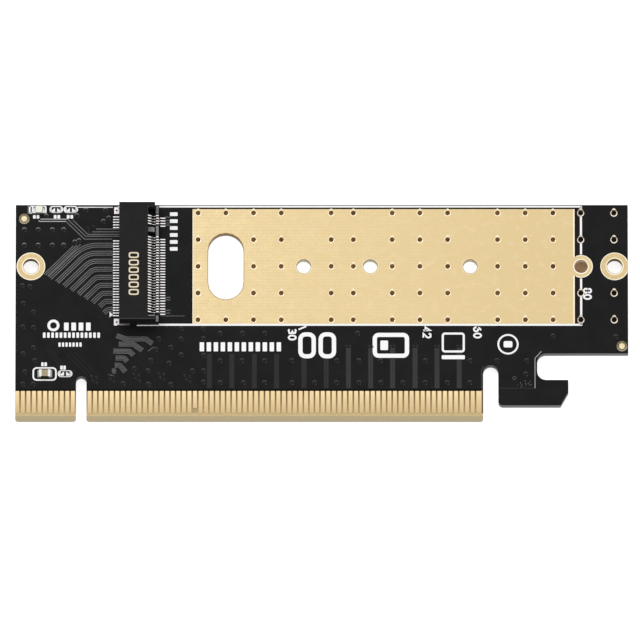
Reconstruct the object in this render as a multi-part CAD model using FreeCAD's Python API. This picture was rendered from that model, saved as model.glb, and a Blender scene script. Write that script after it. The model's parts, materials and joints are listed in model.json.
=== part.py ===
import FreeCAD, Part

import math
import os

# Adapter card that carries a 22 mm wide solid-state module and plugs into a long expansion slot.
#
# The card lies flat: +X runs along its length from the key notch to the hook, +Y from the gold edge
# contacts to the top edge, +Z out of the component side. Shapes are drawn in board coordinates, with
# X measured from the left edge, Y from the edge contacts' end and Z from the rear face, and are moved
# to the centre of the board's outline when they are saved. All sizes are in millimetres.

Vector = FreeCAD.Vector
UP = Vector(0, 0, 1)
TOUCHING = 1e-6

# Circuit board
BOARD_LENGTH = 110.4
BOARD_HEIGHT = 40.27
BOARD_THICKNESS = 1.6
COPPER = 0.05  # copper, plating and mask opening depth
CUT_PAST = 1.0  # how far a cutter runs past the face that it opens
SEATED = 0.1  # how far a block sinks into the one it grows from

# Edge connector tongue, as the expansion slot standard sets it
KEY_NOTCH_X = 11.88
KEY_NOTCH_WIDTH = 1.9
KEY_NOTCH_TOP = 8.2
TONGUE_END_X = 84.25
TONGUE_CORNER_RADIUS = 0.5
CONTACT_PITCH = 1.0
CONTACT_WIDTH = 0.7
CONTACT_BOTTOM_Y = 1.35
CONTACT_TOP_Y = 5.6
CONTACTS_BEFORE_NOTCH = 11
CONTACTS_AFTER_NOTCH = 71
NOTCH_TO_CONTACT = 1.5  # notch centre to the nearest contact on each side
LAST_CONTACT_EXTRA = 0.25  # the last contact is this much wider, towards the tongue's end
SHORT_FRONT_CONTACT = 31
SHORT_REAR_CONTACT = 1
SHORT_CONTACT_BOTTOM_Y = 2.3
BEVEL_LENGTH = 0.78
BEVEL_EDGE_THICKNESS = 0.65
BEVEL_OVERRUN = 0.2  # the bevel cutter starts this far below the edge

# Retention hook beside the tongue
RELIEF_END_X = 87.0
RELIEF_TOP_Y = 10.27
HOOK_BOTTOM_Y = 2.78
HOOK_HEEL_RADIUS = 0.8
HOOK_TOE_X = 99.6
HOOK_TOE_CHAMFER = (1.4, 2.5)
HOOK_TOP_Y = 7.54
GULLET_X = 93.99
GULLET_TOP_Y = 12.48
GULLET_RADIUS = 1.6

# Module bay: holes on one centre line, counted from the module's socket end
BAY_Y = 28.76
MODULE_ZERO_X = 21.95
SCREW_POSITIONS = (30, 42, 60)
SCREW_HOLE_RADIUS = 1.325
CLOSED_POSITION = 80
CLOSED_HOLE_RADIUS = 1.225
CLOSED_FLOOR = 0.2  # laminate left under the closed holes
SLOT_X = 37.9
SLOT_WIDTH = 6.4
SLOT_LENGTH = 12.4
MOUNT_XS = (2.76, 108.0)
MOUNT_HOLE_RADIUS = 1.45
MOUNT_RING_RADIUS = 2.575
PLATING_WALL = 0.05

# Copper heat pad under the module, and the vias that stitch it
PAD_X0 = 31.9
PAD_X1 = 100.8
PAD_HALF_WIDTH = 10.72
PAD_LOBE_RADIUS = 2.1
VIA_RADIUS = 0.45
VIA_RING_RADIUS = 0.65
FEW_SIDES = 8  # vias and other tiny round holes are drawn as prisms
VIA_FIRST_X = 32.9
VIA_PITCH_Y = 5.0
VIA_COLUMN_OFFSETS = (0, 5, 10, 15, 24, 28, 35, 40, 45, 54, 59, 64)
VIA_SLOT_COLUMN = 5  # the slot takes this column's three middle vias
VIA_RING_COLUMN_OFFSETS = (69, 75)  # outside the pad, with rings of their own

# Module socket
SOCKET_REAR_X = 18.69
SOCKET_JAW_X = 23.88
SOCKET_CHEEK_X = 25.15
SOCKET_LIP_X0 = 25.25
SOCKET_LIP_X1 = 25.8
SOCKET_LENGTH = 21.9
SOCKET_HEIGHT = 4.1
SLOT_OPENING = 20.1
SLOT_BACK_X = 20.1
SLOT_FLOOR = 1.95
SLOT_CEILING = 3.0
MOUTH_CHAMFER = (0.58, 0.4)
LIP_HEIGHT = 1.9
TROUGH_FLOOR = 0.9
GALLERY_TOP = 3.5
UPPER_GALLERY_X = 23.2
LOWER_GALLERY_X = 22.1
LOWER_GALLERY_FLOOR = 1.4
REAR_RECESS_DEPTH = 0.4
GALLERY_OVERLAP = 0.2  # the spring recesses cut this far into the slot
KEY_RIB_OFFSET = 6.125
KEY_RIB_WIDTH = 0.9
KEY_RIB_FRONT_X = 25.05
KEY_RIB_TOP = 3.05
KEY_RIB_CHAMFER = 0.45
PEG_X = 22.2
PEG_OFFSET = 10.0
PEG_RADII = (0.8, 0.55)
PEG_CLEARANCE = 0.05
PEG_LENGTH = 1.3

# Socket contacts: two rows at one pitch, the rows half a pitch apart
PIN_COUNT = 75
PIN_HALF_PITCH = 0.25
PIN_ONE_OFFSET = -9.25
KEYED_PINS = range(59, 67)
PIN_WIDTH = 0.24
PIN_CHANNEL_WIDTH = 0.3
PIN_THICKNESS = 0.14
REAR_TAIL_X = 17.57
REAR_RISER_X = 18.94
BEAM_HEIGHT = 3.35
BEAM_BEND_X = 22.5
UPPER_TIP = (22.95, 2.75)
FRONT_TAIL_X = 26.97
FRONT_RISER_X = 26.1
SADDLE_X = (25.72, 25.4)
SADDLE_HEIGHT = 1.86
LOWER_DIP = (25.05, 1.15)
LOWER_TIP = (23.5, 2.45)
SHARPEST_MITRE = 0.3  # cosine that limits how far a bend's outer corner runs out

# Socket hold-downs: a soldered foot and a strip along the housing's end wall
HOLD_DOWN_FOOT_X = 17.75
HOLD_DOWN_FOOT_WIDTH = 1.25
HOLD_DOWN_STRIP_X = (18.4, 20.65)
HOLD_DOWN_STRIP_HEIGHT = 0.7
HOLD_DOWN_THICKNESS = 0.12
HOLD_DOWN_EYE_RADIUS = 0.18

# Small parts: length, width, height and terminal length of each chip size
CHIP_SMALL = (1.6, 0.8, 0.45, 0.3)
CHIP_LARGE = (2.0, 1.25, 0.9, 0.45)
CHIP_WRAP = 0.03
RESISTORS = {
    "resistor_near_slot": (8.97, 8.7),
    "resistor_beside_led": (7.27, 39.32),
    "resistor_middle": (9.95, 39.32),
}
CAPACITOR_PLACE = (5.32, 8.65)
LED_PLACE = (4.2, 39.3)
LED_SIZE = (2.0, 1.25)
LED_BASE_HEIGHT = 0.3
LED_LENS_LENGTH = 1.3
LED_LENS_HEIGHT = 0.5
LED_LENS_DRAFT = 0.1
LED_TERMINAL_LENGTH = 0.3
LED_SCOOP_RADIUS = 0.22
SOLDER_REACH = 0.32
SOLDER_HEIGHT_SHARE = 0.75
FIDUCIAL_RADIUS = 0.55
FIDUCIALS = ((1.53, 37.69), (109.27, 13.85))

# Worked out from the sizes above
FACE_Z = BOARD_THICKNESS
WINDOW_DEPTH = COPPER
MASK_EDGE_Y = CONTACT_TOP_Y  # the mask starts where the contacts end
SOCKET_Y0 = BAY_Y - SOCKET_LENGTH / 2
SOCKET_Y1 = BAY_Y + SOCKET_LENGTH / 2


def box(x0, x1, y0, y1, z0, z1):
    """Return a block between two corners."""
    return Part.makeBox(x1 - x0, y1 - y0, z1 - z0, Vector(x0, y0, z0))


def cylinder(x, y, radius, z0, z1):
    """Return an upright cylinder."""
    return Part.makeCylinder(radius, z1 - z0, Vector(x, y, z0), UP)


def rounded_wire(corners):
    """Return the closed outline through (x, y, radius) corners, each rounded by its radius."""
    arcs = []
    for index, (x, y, radius) in enumerate(corners):
        corner = Vector(x, y, 0)
        before = Vector(*corners[index - 1][:2], 0) - corner
        after = Vector(*corners[(index + 1) % len(corners)][:2], 0) - corner
        before.normalize()
        after.normalize()
        half_angle = before.getAngle(after) / 2
        reach = radius / math.tan(half_angle)
        inward = (before + after).normalize()
        middle = corner + inward * (radius / math.sin(half_angle) - radius)
        arcs.append((corner + before * reach, middle, corner + after * reach))
    edges = []
    for index, (start, middle, end) in enumerate(arcs):
        previous_end = arcs[index - 1][2]
        if previous_end.distanceToPoint(start) > TOUCHING:
            edges.append(Part.LineSegment(previous_end, start).toShape())
        if start.distanceToPoint(end) > TOUCHING:
            edges.append(Part.Arc(start, middle, end).toShape())
    return Part.Wire(edges)


def plate(corners, z0, z1):
    """Return a flat plate with a rounded outline."""
    outline = Part.Face(rounded_wire(corners))
    outline.translate(Vector(0, 0, z0))
    return outline.extrude(Vector(0, 0, z1 - z0))


def bar_along_y(section, y_middle, width):
    """Extrude an (x, z) outline along Y, centred on y_middle."""
    y0 = y_middle - width / 2
    points = [Vector(x, y0, z) for x, z in section]
    outline = Part.makePolygon(points + points[:1])
    return Part.Face(outline).extrude(Vector(0, width, 0))


def bar_along_x(section, x0, x1):
    """Extrude a (y, z) outline along X."""
    points = [Vector(x0, y, z) for y, z in section]
    outline = Part.makePolygon(points + points[:1])
    return Part.Face(outline).extrude(Vector(x1 - x0, 0, 0))


def small_round(x, y, radius, z0, z1):
    """Return a tiny upright cylinder as a prism with few sides."""
    turns = [2 * math.pi * (side + 0.5) / FEW_SIDES for side in range(FEW_SIDES)]
    points = [Vector(x + radius * math.cos(t), y + radius * math.sin(t), z0) for t in turns]
    outline = Part.makePolygon(points + points[:1])
    return Part.Face(outline).extrude(Vector(0, 0, z1 - z0))


def stadium(x, y, width, length, z0, z1):
    """Return an upright slot body with full-round ends along Y."""
    round_end = width / 2
    x0, x1 = x - round_end, x + round_end
    y0, y1 = y - length / 2, y + length / 2
    corners = [(x0, y0, round_end), (x1, y0, round_end), (x1, y1, round_end), (x0, y1, round_end)]
    return plate(corners, z0, z1)


def edge_contact_centres():
    """Return the X of every edge contact, from contact 1 on."""
    left = [-NOTCH_TO_CONTACT - CONTACT_PITCH * step for step in range(CONTACTS_BEFORE_NOTCH)]
    right = [NOTCH_TO_CONTACT + CONTACT_PITCH * step for step in range(CONTACTS_AFTER_NOTCH)]
    return [KEY_NOTCH_X + offset for offset in sorted(left) + right]


def via_rows():
    """Return the Y of the five via rows, lowest first."""
    return [BAY_Y + VIA_PITCH_Y * row for row in range(-2, 3)]


def pad_via_places():
    """Return the (x, y) of each via inside the heat pad."""
    places = []
    for offset in VIA_COLUMN_OFFSETS:
        rows = via_rows()
        if offset == VIA_SLOT_COLUMN:
            rows = [rows[0], rows[-1]]
        places += [(VIA_FIRST_X + offset, y) for y in rows]
    return places


def ring_via_places():
    """Return the (x, y) of each via that has a ring of its own; holes take the middle row."""
    rows = [y for y in via_rows() if abs(y - BAY_Y) > TOUCHING]
    return [(VIA_FIRST_X + offset, y) for offset in VIA_RING_COLUMN_OFFSETS for y in rows]


def socket_pins(parity):
    """Return the Y of each socket contact whose number is odd (1) or even (0)."""
    numbers = [n for n in range(1, PIN_COUNT + 1) if n % 2 == parity and n not in KEYED_PINS]
    return [BAY_Y + PIN_ONE_OFFSET + PIN_HALF_PITCH * (n - 1) for n in numbers]


def board_outline():
    """Return the board's corners with their radii, counter-clockwise from the lower left."""
    notch_x0 = KEY_NOTCH_X - KEY_NOTCH_WIDTH / 2
    notch_x1 = KEY_NOTCH_X + KEY_NOTCH_WIDTH / 2
    notch_radius = KEY_NOTCH_WIDTH / 2
    relief_radius = (RELIEF_END_X - TONGUE_END_X) / 2
    toe_run, toe_rise = HOOK_TOE_CHAMFER
    return [
        (0, 0, TONGUE_CORNER_RADIUS),
        (notch_x0, 0, TONGUE_CORNER_RADIUS),
        (notch_x0, KEY_NOTCH_TOP, notch_radius),
        (notch_x1, KEY_NOTCH_TOP, notch_radius),
        (notch_x1, 0, TONGUE_CORNER_RADIUS),
        (TONGUE_END_X, 0, TONGUE_CORNER_RADIUS),
        (TONGUE_END_X, RELIEF_TOP_Y, relief_radius),
        (RELIEF_END_X, RELIEF_TOP_Y, relief_radius),
        (RELIEF_END_X, HOOK_BOTTOM_Y, HOOK_HEEL_RADIUS),
        (HOOK_TOE_X - toe_run, HOOK_BOTTOM_Y, 0),
        (HOOK_TOE_X, HOOK_BOTTOM_Y + toe_rise, 0),
        (HOOK_TOE_X, HOOK_TOP_Y, 0),
        (GULLET_X, HOOK_TOP_Y, GULLET_RADIUS),
        (GULLET_X, GULLET_TOP_Y, GULLET_RADIUS),
        (BOARD_LENGTH, GULLET_TOP_Y, 0),
        (BOARD_LENGTH, BOARD_HEIGHT, 0),
        (0, BOARD_HEIGHT, 0),
    ]


def tongue_bevels():
    """Return the two wedges that bevel the tongue's lower edge on both faces."""
    laminate_top = BOARD_THICKNESS - WINDOW_DEPTH
    edge_top = (BOARD_THICKNESS + BEVEL_EDGE_THICKNESS) / 2
    slope = (laminate_top - edge_top) / BEVEL_LENGTH
    upper = [
        (-BEVEL_OVERRUN, edge_top - slope * BEVEL_OVERRUN),
        (BEVEL_LENGTH, laminate_top),
        (BEVEL_LENGTH, laminate_top + CUT_PAST),
        (-BEVEL_OVERRUN, laminate_top + CUT_PAST),
    ]
    lower = [(y, BOARD_THICKNESS - z) for y, z in upper]
    x0, x1 = -CUT_PAST, TONGUE_END_X + CUT_PAST
    return [bar_along_x(section, x0, x1) for section in (upper, lower)]


def mask_windows():
    """Return the shallow openings that bare both faces of the tongue for its contacts."""
    x1 = TONGUE_END_X + CUT_PAST
    front = box(-CUT_PAST, x1, -CUT_PAST, MASK_EDGE_Y, FACE_Z - WINDOW_DEPTH, FACE_Z + CUT_PAST)
    rear = box(-CUT_PAST, x1, -CUT_PAST, MASK_EDGE_Y, -CUT_PAST, WINDOW_DEPTH)
    return [front, rear]


def bay_holes(z0):
    """Return the cutters of the bay's through holes and of its closed one, from z0 up."""
    below, above = z0 - CUT_PAST, FACE_Z + CUT_PAST
    cutters = [stadium(SLOT_X, BAY_Y, SLOT_WIDTH, SLOT_LENGTH, below, above)]
    for position in SCREW_POSITIONS:
        cutters.append(cylinder(MODULE_ZERO_X + position, BAY_Y, SCREW_HOLE_RADIUS, below, above))
    closed_x = MODULE_ZERO_X + CLOSED_POSITION
    cutters.append(cylinder(closed_x, BAY_Y, CLOSED_HOLE_RADIUS, z0 + CLOSED_FLOOR, above))
    return cutters


def circuit_board():
    """Return the laminate with its mask: tongue, hook, slot, holes and closed vias."""
    board = plate(board_outline(), 0, BOARD_THICKNESS)
    below, above = -CUT_PAST, FACE_Z + CUT_PAST
    cutters = tongue_bevels() + mask_windows() + bay_holes(0)
    for x in MOUNT_XS:
        cutters.append(cylinder(x, BAY_Y, MOUNT_HOLE_RADIUS + PLATING_WALL, below, above))
        cutters.append(cylinder(x, BAY_Y, MOUNT_RING_RADIUS, below, WINDOW_DEPTH))
    for x, y in pad_via_places() + ring_via_places():
        cutters.append(small_round(x, y, VIA_RADIUS, CLOSED_FLOOR, above))
    for side, radius in zip((1, -1), PEG_RADII):
        peg_y = BAY_Y + side * PEG_OFFSET
        cutters.append(small_round(PEG_X, peg_y, radius + PEG_CLEARANCE, below, above))
    return board.cut(cutters)


def edge_contacts(z0, short_number):
    """Return one face's row of edge contacts, each a gold plate, one of them short."""
    contacts = []
    centres = edge_contact_centres()
    for number, x in enumerate(centres, start=1):
        y0 = SHORT_CONTACT_BOTTOM_Y if number == short_number else CONTACT_BOTTOM_Y
        extra = LAST_CONTACT_EXTRA if number == len(centres) else 0
        half_width = CONTACT_WIDTH / 2
        contacts.append(box(x - half_width, x + half_width + extra, y0, CONTACT_TOP_Y, z0, z0 + COPPER))
    return Part.makeCompound(contacts)


def heat_pad():
    """Return the bare copper pad with its lobe round the closed hole, its slot, holes and vias."""
    y0, y1 = BAY_Y - PAD_HALF_WIDTH, BAY_Y + PAD_HALF_WIDTH
    top = FACE_Z + COPPER
    lobe = cylinder(MODULE_ZERO_X + CLOSED_POSITION, BAY_Y, PAD_LOBE_RADIUS, FACE_Z, top)
    pad = box(PAD_X0, PAD_X1, y0, y1, FACE_Z, top).fuse(lobe)
    cutters = bay_holes(0)
    for x, y in pad_via_places():
        cutters.append(small_round(x, y, VIA_RADIUS, CLOSED_FLOOR, top + CUT_PAST))
    return pad.cut(cutters)


def via_rings():
    """Return the rings round the vias that stand outside the pad."""
    rings = []
    for x, y in ring_via_places():
        disc = small_round(x, y, VIA_RING_RADIUS, FACE_Z, FACE_Z + COPPER)
        rings.append(disc.cut(small_round(x, y, VIA_RADIUS, 0, FACE_Z + CUT_PAST)))
    return Part.makeCompound(rings)


def mount_plating(x):
    """Return one mounting hole's plating: a barrel with a ring on each face, trimmed to the board."""
    section = [
        (MOUNT_HOLE_RADIUS, 0),
        (MOUNT_RING_RADIUS, 0),
        (MOUNT_RING_RADIUS, WINDOW_DEPTH),
        (MOUNT_HOLE_RADIUS + PLATING_WALL, WINDOW_DEPTH),
        (MOUNT_HOLE_RADIUS + PLATING_WALL, FACE_Z),
        (MOUNT_RING_RADIUS, FACE_Z),
        (MOUNT_RING_RADIUS, FACE_Z + COPPER),
        (MOUNT_HOLE_RADIUS, FACE_Z + COPPER),
    ]
    points = [Vector(x + radius, BAY_Y, z) for radius, z in section]
    face = Part.Face(Part.makePolygon(points + points[:1]))
    plating = face.revolve(Vector(x, BAY_Y, 0), UP, 360)
    return plating.common(box(0, BOARD_LENGTH, 0, BOARD_HEIGHT, -CUT_PAST, FACE_Z + CUT_PAST))


def above_board(section):
    """Lift an (x, height) outline from the board's face to its true Z."""
    return [(x, FACE_Z + height) for x, height in section]


def housing_body():
    """Return the socket housing before its contact channels: jaw, trough, lip, cheeks and rib."""
    chamfer_run, chamfer_rise = MOUTH_CHAMFER
    open_section = [
        (SOCKET_REAR_X, 0),
        (SOCKET_REAR_X, SOCKET_HEIGHT),
        (SOCKET_JAW_X, SOCKET_HEIGHT),
        (SOCKET_JAW_X, SLOT_CEILING + chamfer_rise),
        (SOCKET_JAW_X - chamfer_run, SLOT_CEILING),
        (SLOT_BACK_X, SLOT_CEILING),
        (SLOT_BACK_X, SLOT_FLOOR),
        (SOCKET_JAW_X, SLOT_FLOOR),
        (SOCKET_JAW_X, TROUGH_FLOOR),
        (SOCKET_LIP_X0, TROUGH_FLOOR),
        (SOCKET_LIP_X0, LIP_HEIGHT),
        (SOCKET_LIP_X1, LIP_HEIGHT),
        (SOCKET_LIP_X1, 0),
    ]
    cheek_section = [
        (SOCKET_REAR_X, 0),
        (SOCKET_REAR_X, SOCKET_HEIGHT),
        (SOCKET_CHEEK_X, SOCKET_HEIGHT),
        (SOCKET_CHEEK_X, LIP_HEIGHT),
        (SOCKET_LIP_X1, LIP_HEIGHT),
        (SOCKET_LIP_X1, 0),
    ]
    rib_section = [
        (SLOT_BACK_X - SEATED, TROUGH_FLOOR - SEATED),
        (SLOT_BACK_X - SEATED, KEY_RIB_TOP),
        (KEY_RIB_FRONT_X - KEY_RIB_CHAMFER, KEY_RIB_TOP),
        (KEY_RIB_FRONT_X, KEY_RIB_TOP - KEY_RIB_CHAMFER),
        (KEY_RIB_FRONT_X, TROUGH_FLOOR - SEATED),
    ]
    body = bar_along_y(above_board(open_section), BAY_Y, SLOT_OPENING)
    cheek_width = (SOCKET_LENGTH - SLOT_OPENING) / 2
    pieces = [bar_along_y(above_board(rib_section), BAY_Y + KEY_RIB_OFFSET, KEY_RIB_WIDTH)]
    for y_middle in (SOCKET_Y0 + cheek_width / 2, SOCKET_Y1 - cheek_width / 2):
        pieces.append(bar_along_y(above_board(cheek_section), y_middle, cheek_width))
    for side, radius in zip((1, -1), PEG_RADII):
        peg_y = BAY_Y + side * PEG_OFFSET
        pieces.append(small_round(PEG_X, peg_y, radius, FACE_Z - PEG_LENGTH, FACE_Z))
    return body.fuse(pieces).removeSplitter()


def comb_slot(y_middle):
    """Return the cutter of one contact's slot through the housing's front lip."""
    y0, y1 = y_middle - PIN_CHANNEL_WIDTH / 2, y_middle + PIN_CHANNEL_WIDTH / 2
    return box(SOCKET_LIP_X0, SOCKET_LIP_X1 + CUT_PAST, y0, y1, 0, FACE_Z + LIP_HEIGHT + CUT_PAST)


def contact_gallery(pins, x0, x1, height0, height1):
    """Return cutters of the two recesses for a row's springs, one on each side of the key rib."""
    rib_y = BAY_Y + KEY_RIB_OFFSET
    half = PIN_CHANNEL_WIDTH / 2
    groups = [y for y in pins if y < rib_y], [y for y in pins if y > rib_y]
    z0, z1 = FACE_Z + height0, FACE_Z + height1
    return [box(x0, x1, group[0] - half, group[-1] + half, z0, z1) for group in groups]


def socket_housing():
    """Return the moulded housing with its comb slots and the recesses of both contact rows."""
    upper, lower = socket_pins(parity=1), socket_pins(parity=0)
    rear_x = SOCKET_REAR_X + REAR_RECESS_DEPTH
    ceiling, floor = SLOT_CEILING - GALLERY_OVERLAP, SLOT_FLOOR + GALLERY_OVERLAP
    cutters = contact_gallery(upper, SOCKET_REAR_X - CUT_PAST, rear_x, -CUT_PAST, GALLERY_TOP)
    cutters += contact_gallery(upper, rear_x - SEATED, UPPER_GALLERY_X, ceiling, GALLERY_TOP)
    cutters += contact_gallery(lower, LOWER_GALLERY_X, SOCKET_JAW_X + CUT_PAST, LOWER_GALLERY_FLOOR, floor)
    cutters += [comb_slot(y) for y in lower]
    return housing_body().cut(cutters)


def strip_outline(path, thickness):
    """Return the outline of a strip of even thickness whose middle follows an (x, z) path."""
    points = [Vector(x, z, 0) for x, z in path]
    runs = [(after - before).normalize() for before, after in zip(points, points[1:])]
    left_side, right_side = [], []
    for point, incoming, outgoing in zip(points, runs[:1] + runs, runs + runs[-1:]):
        ahead = (incoming + outgoing).normalize()
        normal = Vector(-ahead.y, ahead.x, 0)
        mitre = thickness / 2 / max(ahead.dot(incoming), SHARPEST_MITRE)
        left_side.append(point + normal * mitre)
        right_side.append(point - normal * mitre)
    return [(p.x, p.y) for p in left_side + right_side[::-1]]


def contact_row(path, parity):
    """Return one row of socket contacts bent along an (x, height) path."""
    outline = above_board(strip_outline(path, PIN_THICKNESS))
    return Part.makeCompound([bar_along_y(outline, y, PIN_WIDTH) for y in socket_pins(parity)])


def upper_contacts():
    """Return the odd-numbered contacts: rear tail, riser, beam along the ceiling and bent tip."""
    on_board = PIN_THICKNESS / 2
    path = [
        (REAR_TAIL_X, on_board),
        (REAR_RISER_X, on_board),
        (REAR_RISER_X, BEAM_HEIGHT),
        (BEAM_BEND_X, BEAM_HEIGHT),
        UPPER_TIP,
    ]
    return contact_row(path, parity=1)


def lower_contacts():
    """Return the even-numbered contacts: front tail, riser, saddle over the lip and ramped tip."""
    on_board = PIN_THICKNESS / 2
    path = [
        (FRONT_TAIL_X, on_board),
        (FRONT_RISER_X, on_board),
        (SADDLE_X[0], SADDLE_HEIGHT),
        (SADDLE_X[1], SADDLE_HEIGHT),
        LOWER_DIP,
        LOWER_TIP,
    ]
    return contact_row(path, parity=0)


def hold_down(side):
    """Return the soldered metal hold-down at one rear corner; side is +1 for the top end."""
    wall_y = BAY_Y + side * SOCKET_LENGTH / 2
    outer_y = wall_y + side * HOLD_DOWN_THICKNESS
    inner_y = outer_y - side * HOLD_DOWN_FOOT_WIDTH
    y0, y1 = sorted((outer_y, inner_y))
    foot = box(HOLD_DOWN_FOOT_X, SOCKET_REAR_X, y0, y1, FACE_Z, FACE_Z + HOLD_DOWN_THICKNESS)
    s0, s1 = sorted((wall_y, outer_y))
    strip = box(*HOLD_DOWN_STRIP_X, s0, s1, FACE_Z, FACE_Z + HOLD_DOWN_STRIP_HEIGHT)
    eye_x = (HOLD_DOWN_FOOT_X + SOCKET_REAR_X) / 2
    eye_y = (y0 + y1) / 2
    eye = small_round(eye_x, eye_y, HOLD_DOWN_EYE_RADIUS, FACE_Z - CUT_PAST, FACE_Z + CUT_PAST)
    return foot.fuse(strip).cut(eye).removeSplitter()


def chip_body(place, size):
    """Return a chip part's ceramic body, short of its terminals by their wall."""
    x, y = place
    length, width, height, _ = size
    half_length, half_width = length / 2 - CHIP_WRAP, width / 2 - CHIP_WRAP
    z0, z1 = FACE_Z + CHIP_WRAP, FACE_Z + height - CHIP_WRAP
    return box(x - half_length, x + half_length, y - half_width, y + half_width, z0, z1)


def chip_terminals(place, size):
    """Return a chip part's two end caps, wrapped round the body's ends."""
    x, y = place
    length, width, height, terminal = size
    caps = []
    for side in (-1, 1):
        x0, x1 = sorted((x + side * length / 2, x + side * (length / 2 - terminal)))
        block = box(x0, x1, y - width / 2, y + width / 2, FACE_Z, FACE_Z + height)
        caps.append(block.cut(chip_body(place, size)))
    return Part.makeCompound(caps)


def led_base():
    """Return the indicator's thin carrier between its two terminals."""
    x, y = LED_PLACE
    length, width = LED_SIZE
    half = length / 2 - LED_TERMINAL_LENGTH
    return box(x - half, x + half, y - width / 2, y + width / 2, FACE_Z, FACE_Z + LED_BASE_HEIGHT)


def led_terminals():
    """Return the indicator's two gold ends."""
    x, y = LED_PLACE
    length, width = LED_SIZE
    ends = []
    for side in (-1, 1):
        x0, x1 = sorted((x + side * length / 2, x + side * (length / 2 - LED_TERMINAL_LENGTH)))
        end = box(x0, x1, y - width / 2, y + width / 2, FACE_Z, FACE_Z + LED_BASE_HEIGHT)
        z0, z1 = FACE_Z - CUT_PAST, FACE_Z + CUT_PAST
        ends.append(end.cut(small_round(x + side * length / 2, y, LED_SCOOP_RADIUS, z0, z1)))
    return Part.makeCompound(ends)


def led_lens():
    """Return the indicator's moulded lens with its drafted ends."""
    x, y = LED_PLACE
    z0 = FACE_Z + LED_BASE_HEIGHT
    half = LED_LENS_LENGTH / 2
    section = [
        (x - half, z0),
        (x - half + LED_LENS_DRAFT, z0 + LED_LENS_HEIGHT),
        (x + half - LED_LENS_DRAFT, z0 + LED_LENS_HEIGHT),
        (x + half, z0),
    ]
    return bar_along_y(section, y, LED_SIZE[1])


def solder_wedge(x, y, width, height, side):
    """Return one fillet of solder that leans on a terminal's end face at x."""
    section = [(x, FACE_Z), (x + side * SOLDER_REACH, FACE_Z), (x, FACE_Z + height)]
    return bar_along_y(section, y, width)


def component_solder():
    """Return the solder fillets at both ends of each small part."""
    parts = [(place, CHIP_SMALL[:3]) for place in RESISTORS.values()]
    parts.append((CAPACITOR_PLACE, CHIP_LARGE[:3]))
    parts.append((LED_PLACE, LED_SIZE + (LED_BASE_HEIGHT,)))
    wedges = []
    for (x, y), (length, width, height) in parts:
        for side in (-1, 1):
            end_x = x + side * length / 2
            wedges.append(solder_wedge(end_x, y, width, height * SOLDER_HEIGHT_SHARE, side))
    return Part.makeCompound(wedges)


def fiducial_marks():
    """Return the two round copper alignment marks."""
    return Part.makeCompound(
        [small_round(x, y, FIDUCIAL_RADIUS, FACE_Z, FACE_Z + COPPER) for x, y in FIDUCIALS]
    )


def build_nodes():
    """Return every sub-part by its node name."""
    nodes = {
        "circuit_board": circuit_board(),
        "front_edge_contacts": edge_contacts(FACE_Z - COPPER, SHORT_FRONT_CONTACT),
        "rear_edge_contacts": edge_contacts(0, SHORT_REAR_CONTACT),
        "heat_pad": heat_pad(),
        "via_rings": via_rings(),
        "left_mount_plating": mount_plating(MOUNT_XS[0]),
        "right_mount_plating": mount_plating(MOUNT_XS[1]),
        "fiducial_marks": fiducial_marks(),
        "socket_housing": socket_housing(),
        "socket_upper_contacts": upper_contacts(),
        "socket_lower_contacts": lower_contacts(),
        "socket_top_hold_down": hold_down(1),
        "socket_bottom_hold_down": hold_down(-1),
        "led_base": led_base(),
        "led_terminals": led_terminals(),
        "led_lens": led_lens(),
        "capacitor_body": chip_body(CAPACITOR_PLACE, CHIP_LARGE),
        "capacitor_terminals": chip_terminals(CAPACITOR_PLACE, CHIP_LARGE),
        "component_solder": component_solder(),
    }
    for name, place in RESISTORS.items():
        nodes[name + "_body"] = chip_body(place, CHIP_SMALL)
        nodes[name + "_terminals"] = chip_terminals(place, CHIP_SMALL)
    return nodes


def main():
    """Save each sub-part as one STEP file, centred on the board's outline."""
    os.makedirs("parts", exist_ok=True)
    to_centre = Vector(-BOARD_LENGTH / 2, -BOARD_HEIGHT / 2, 0)
    for name, shape in build_nodes().items():
        shape.translate(to_centre)
        shape.exportStep(f"parts/{name}.step")
        print(f"{name}: {len(shape.Solids)} solid(s), {shape.Volume:.3f} mm3")


main()
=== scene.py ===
import json
import logging
import math
import random
from collections.abc import Iterable, Sequence
from dataclasses import dataclass
from enum import Enum

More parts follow.
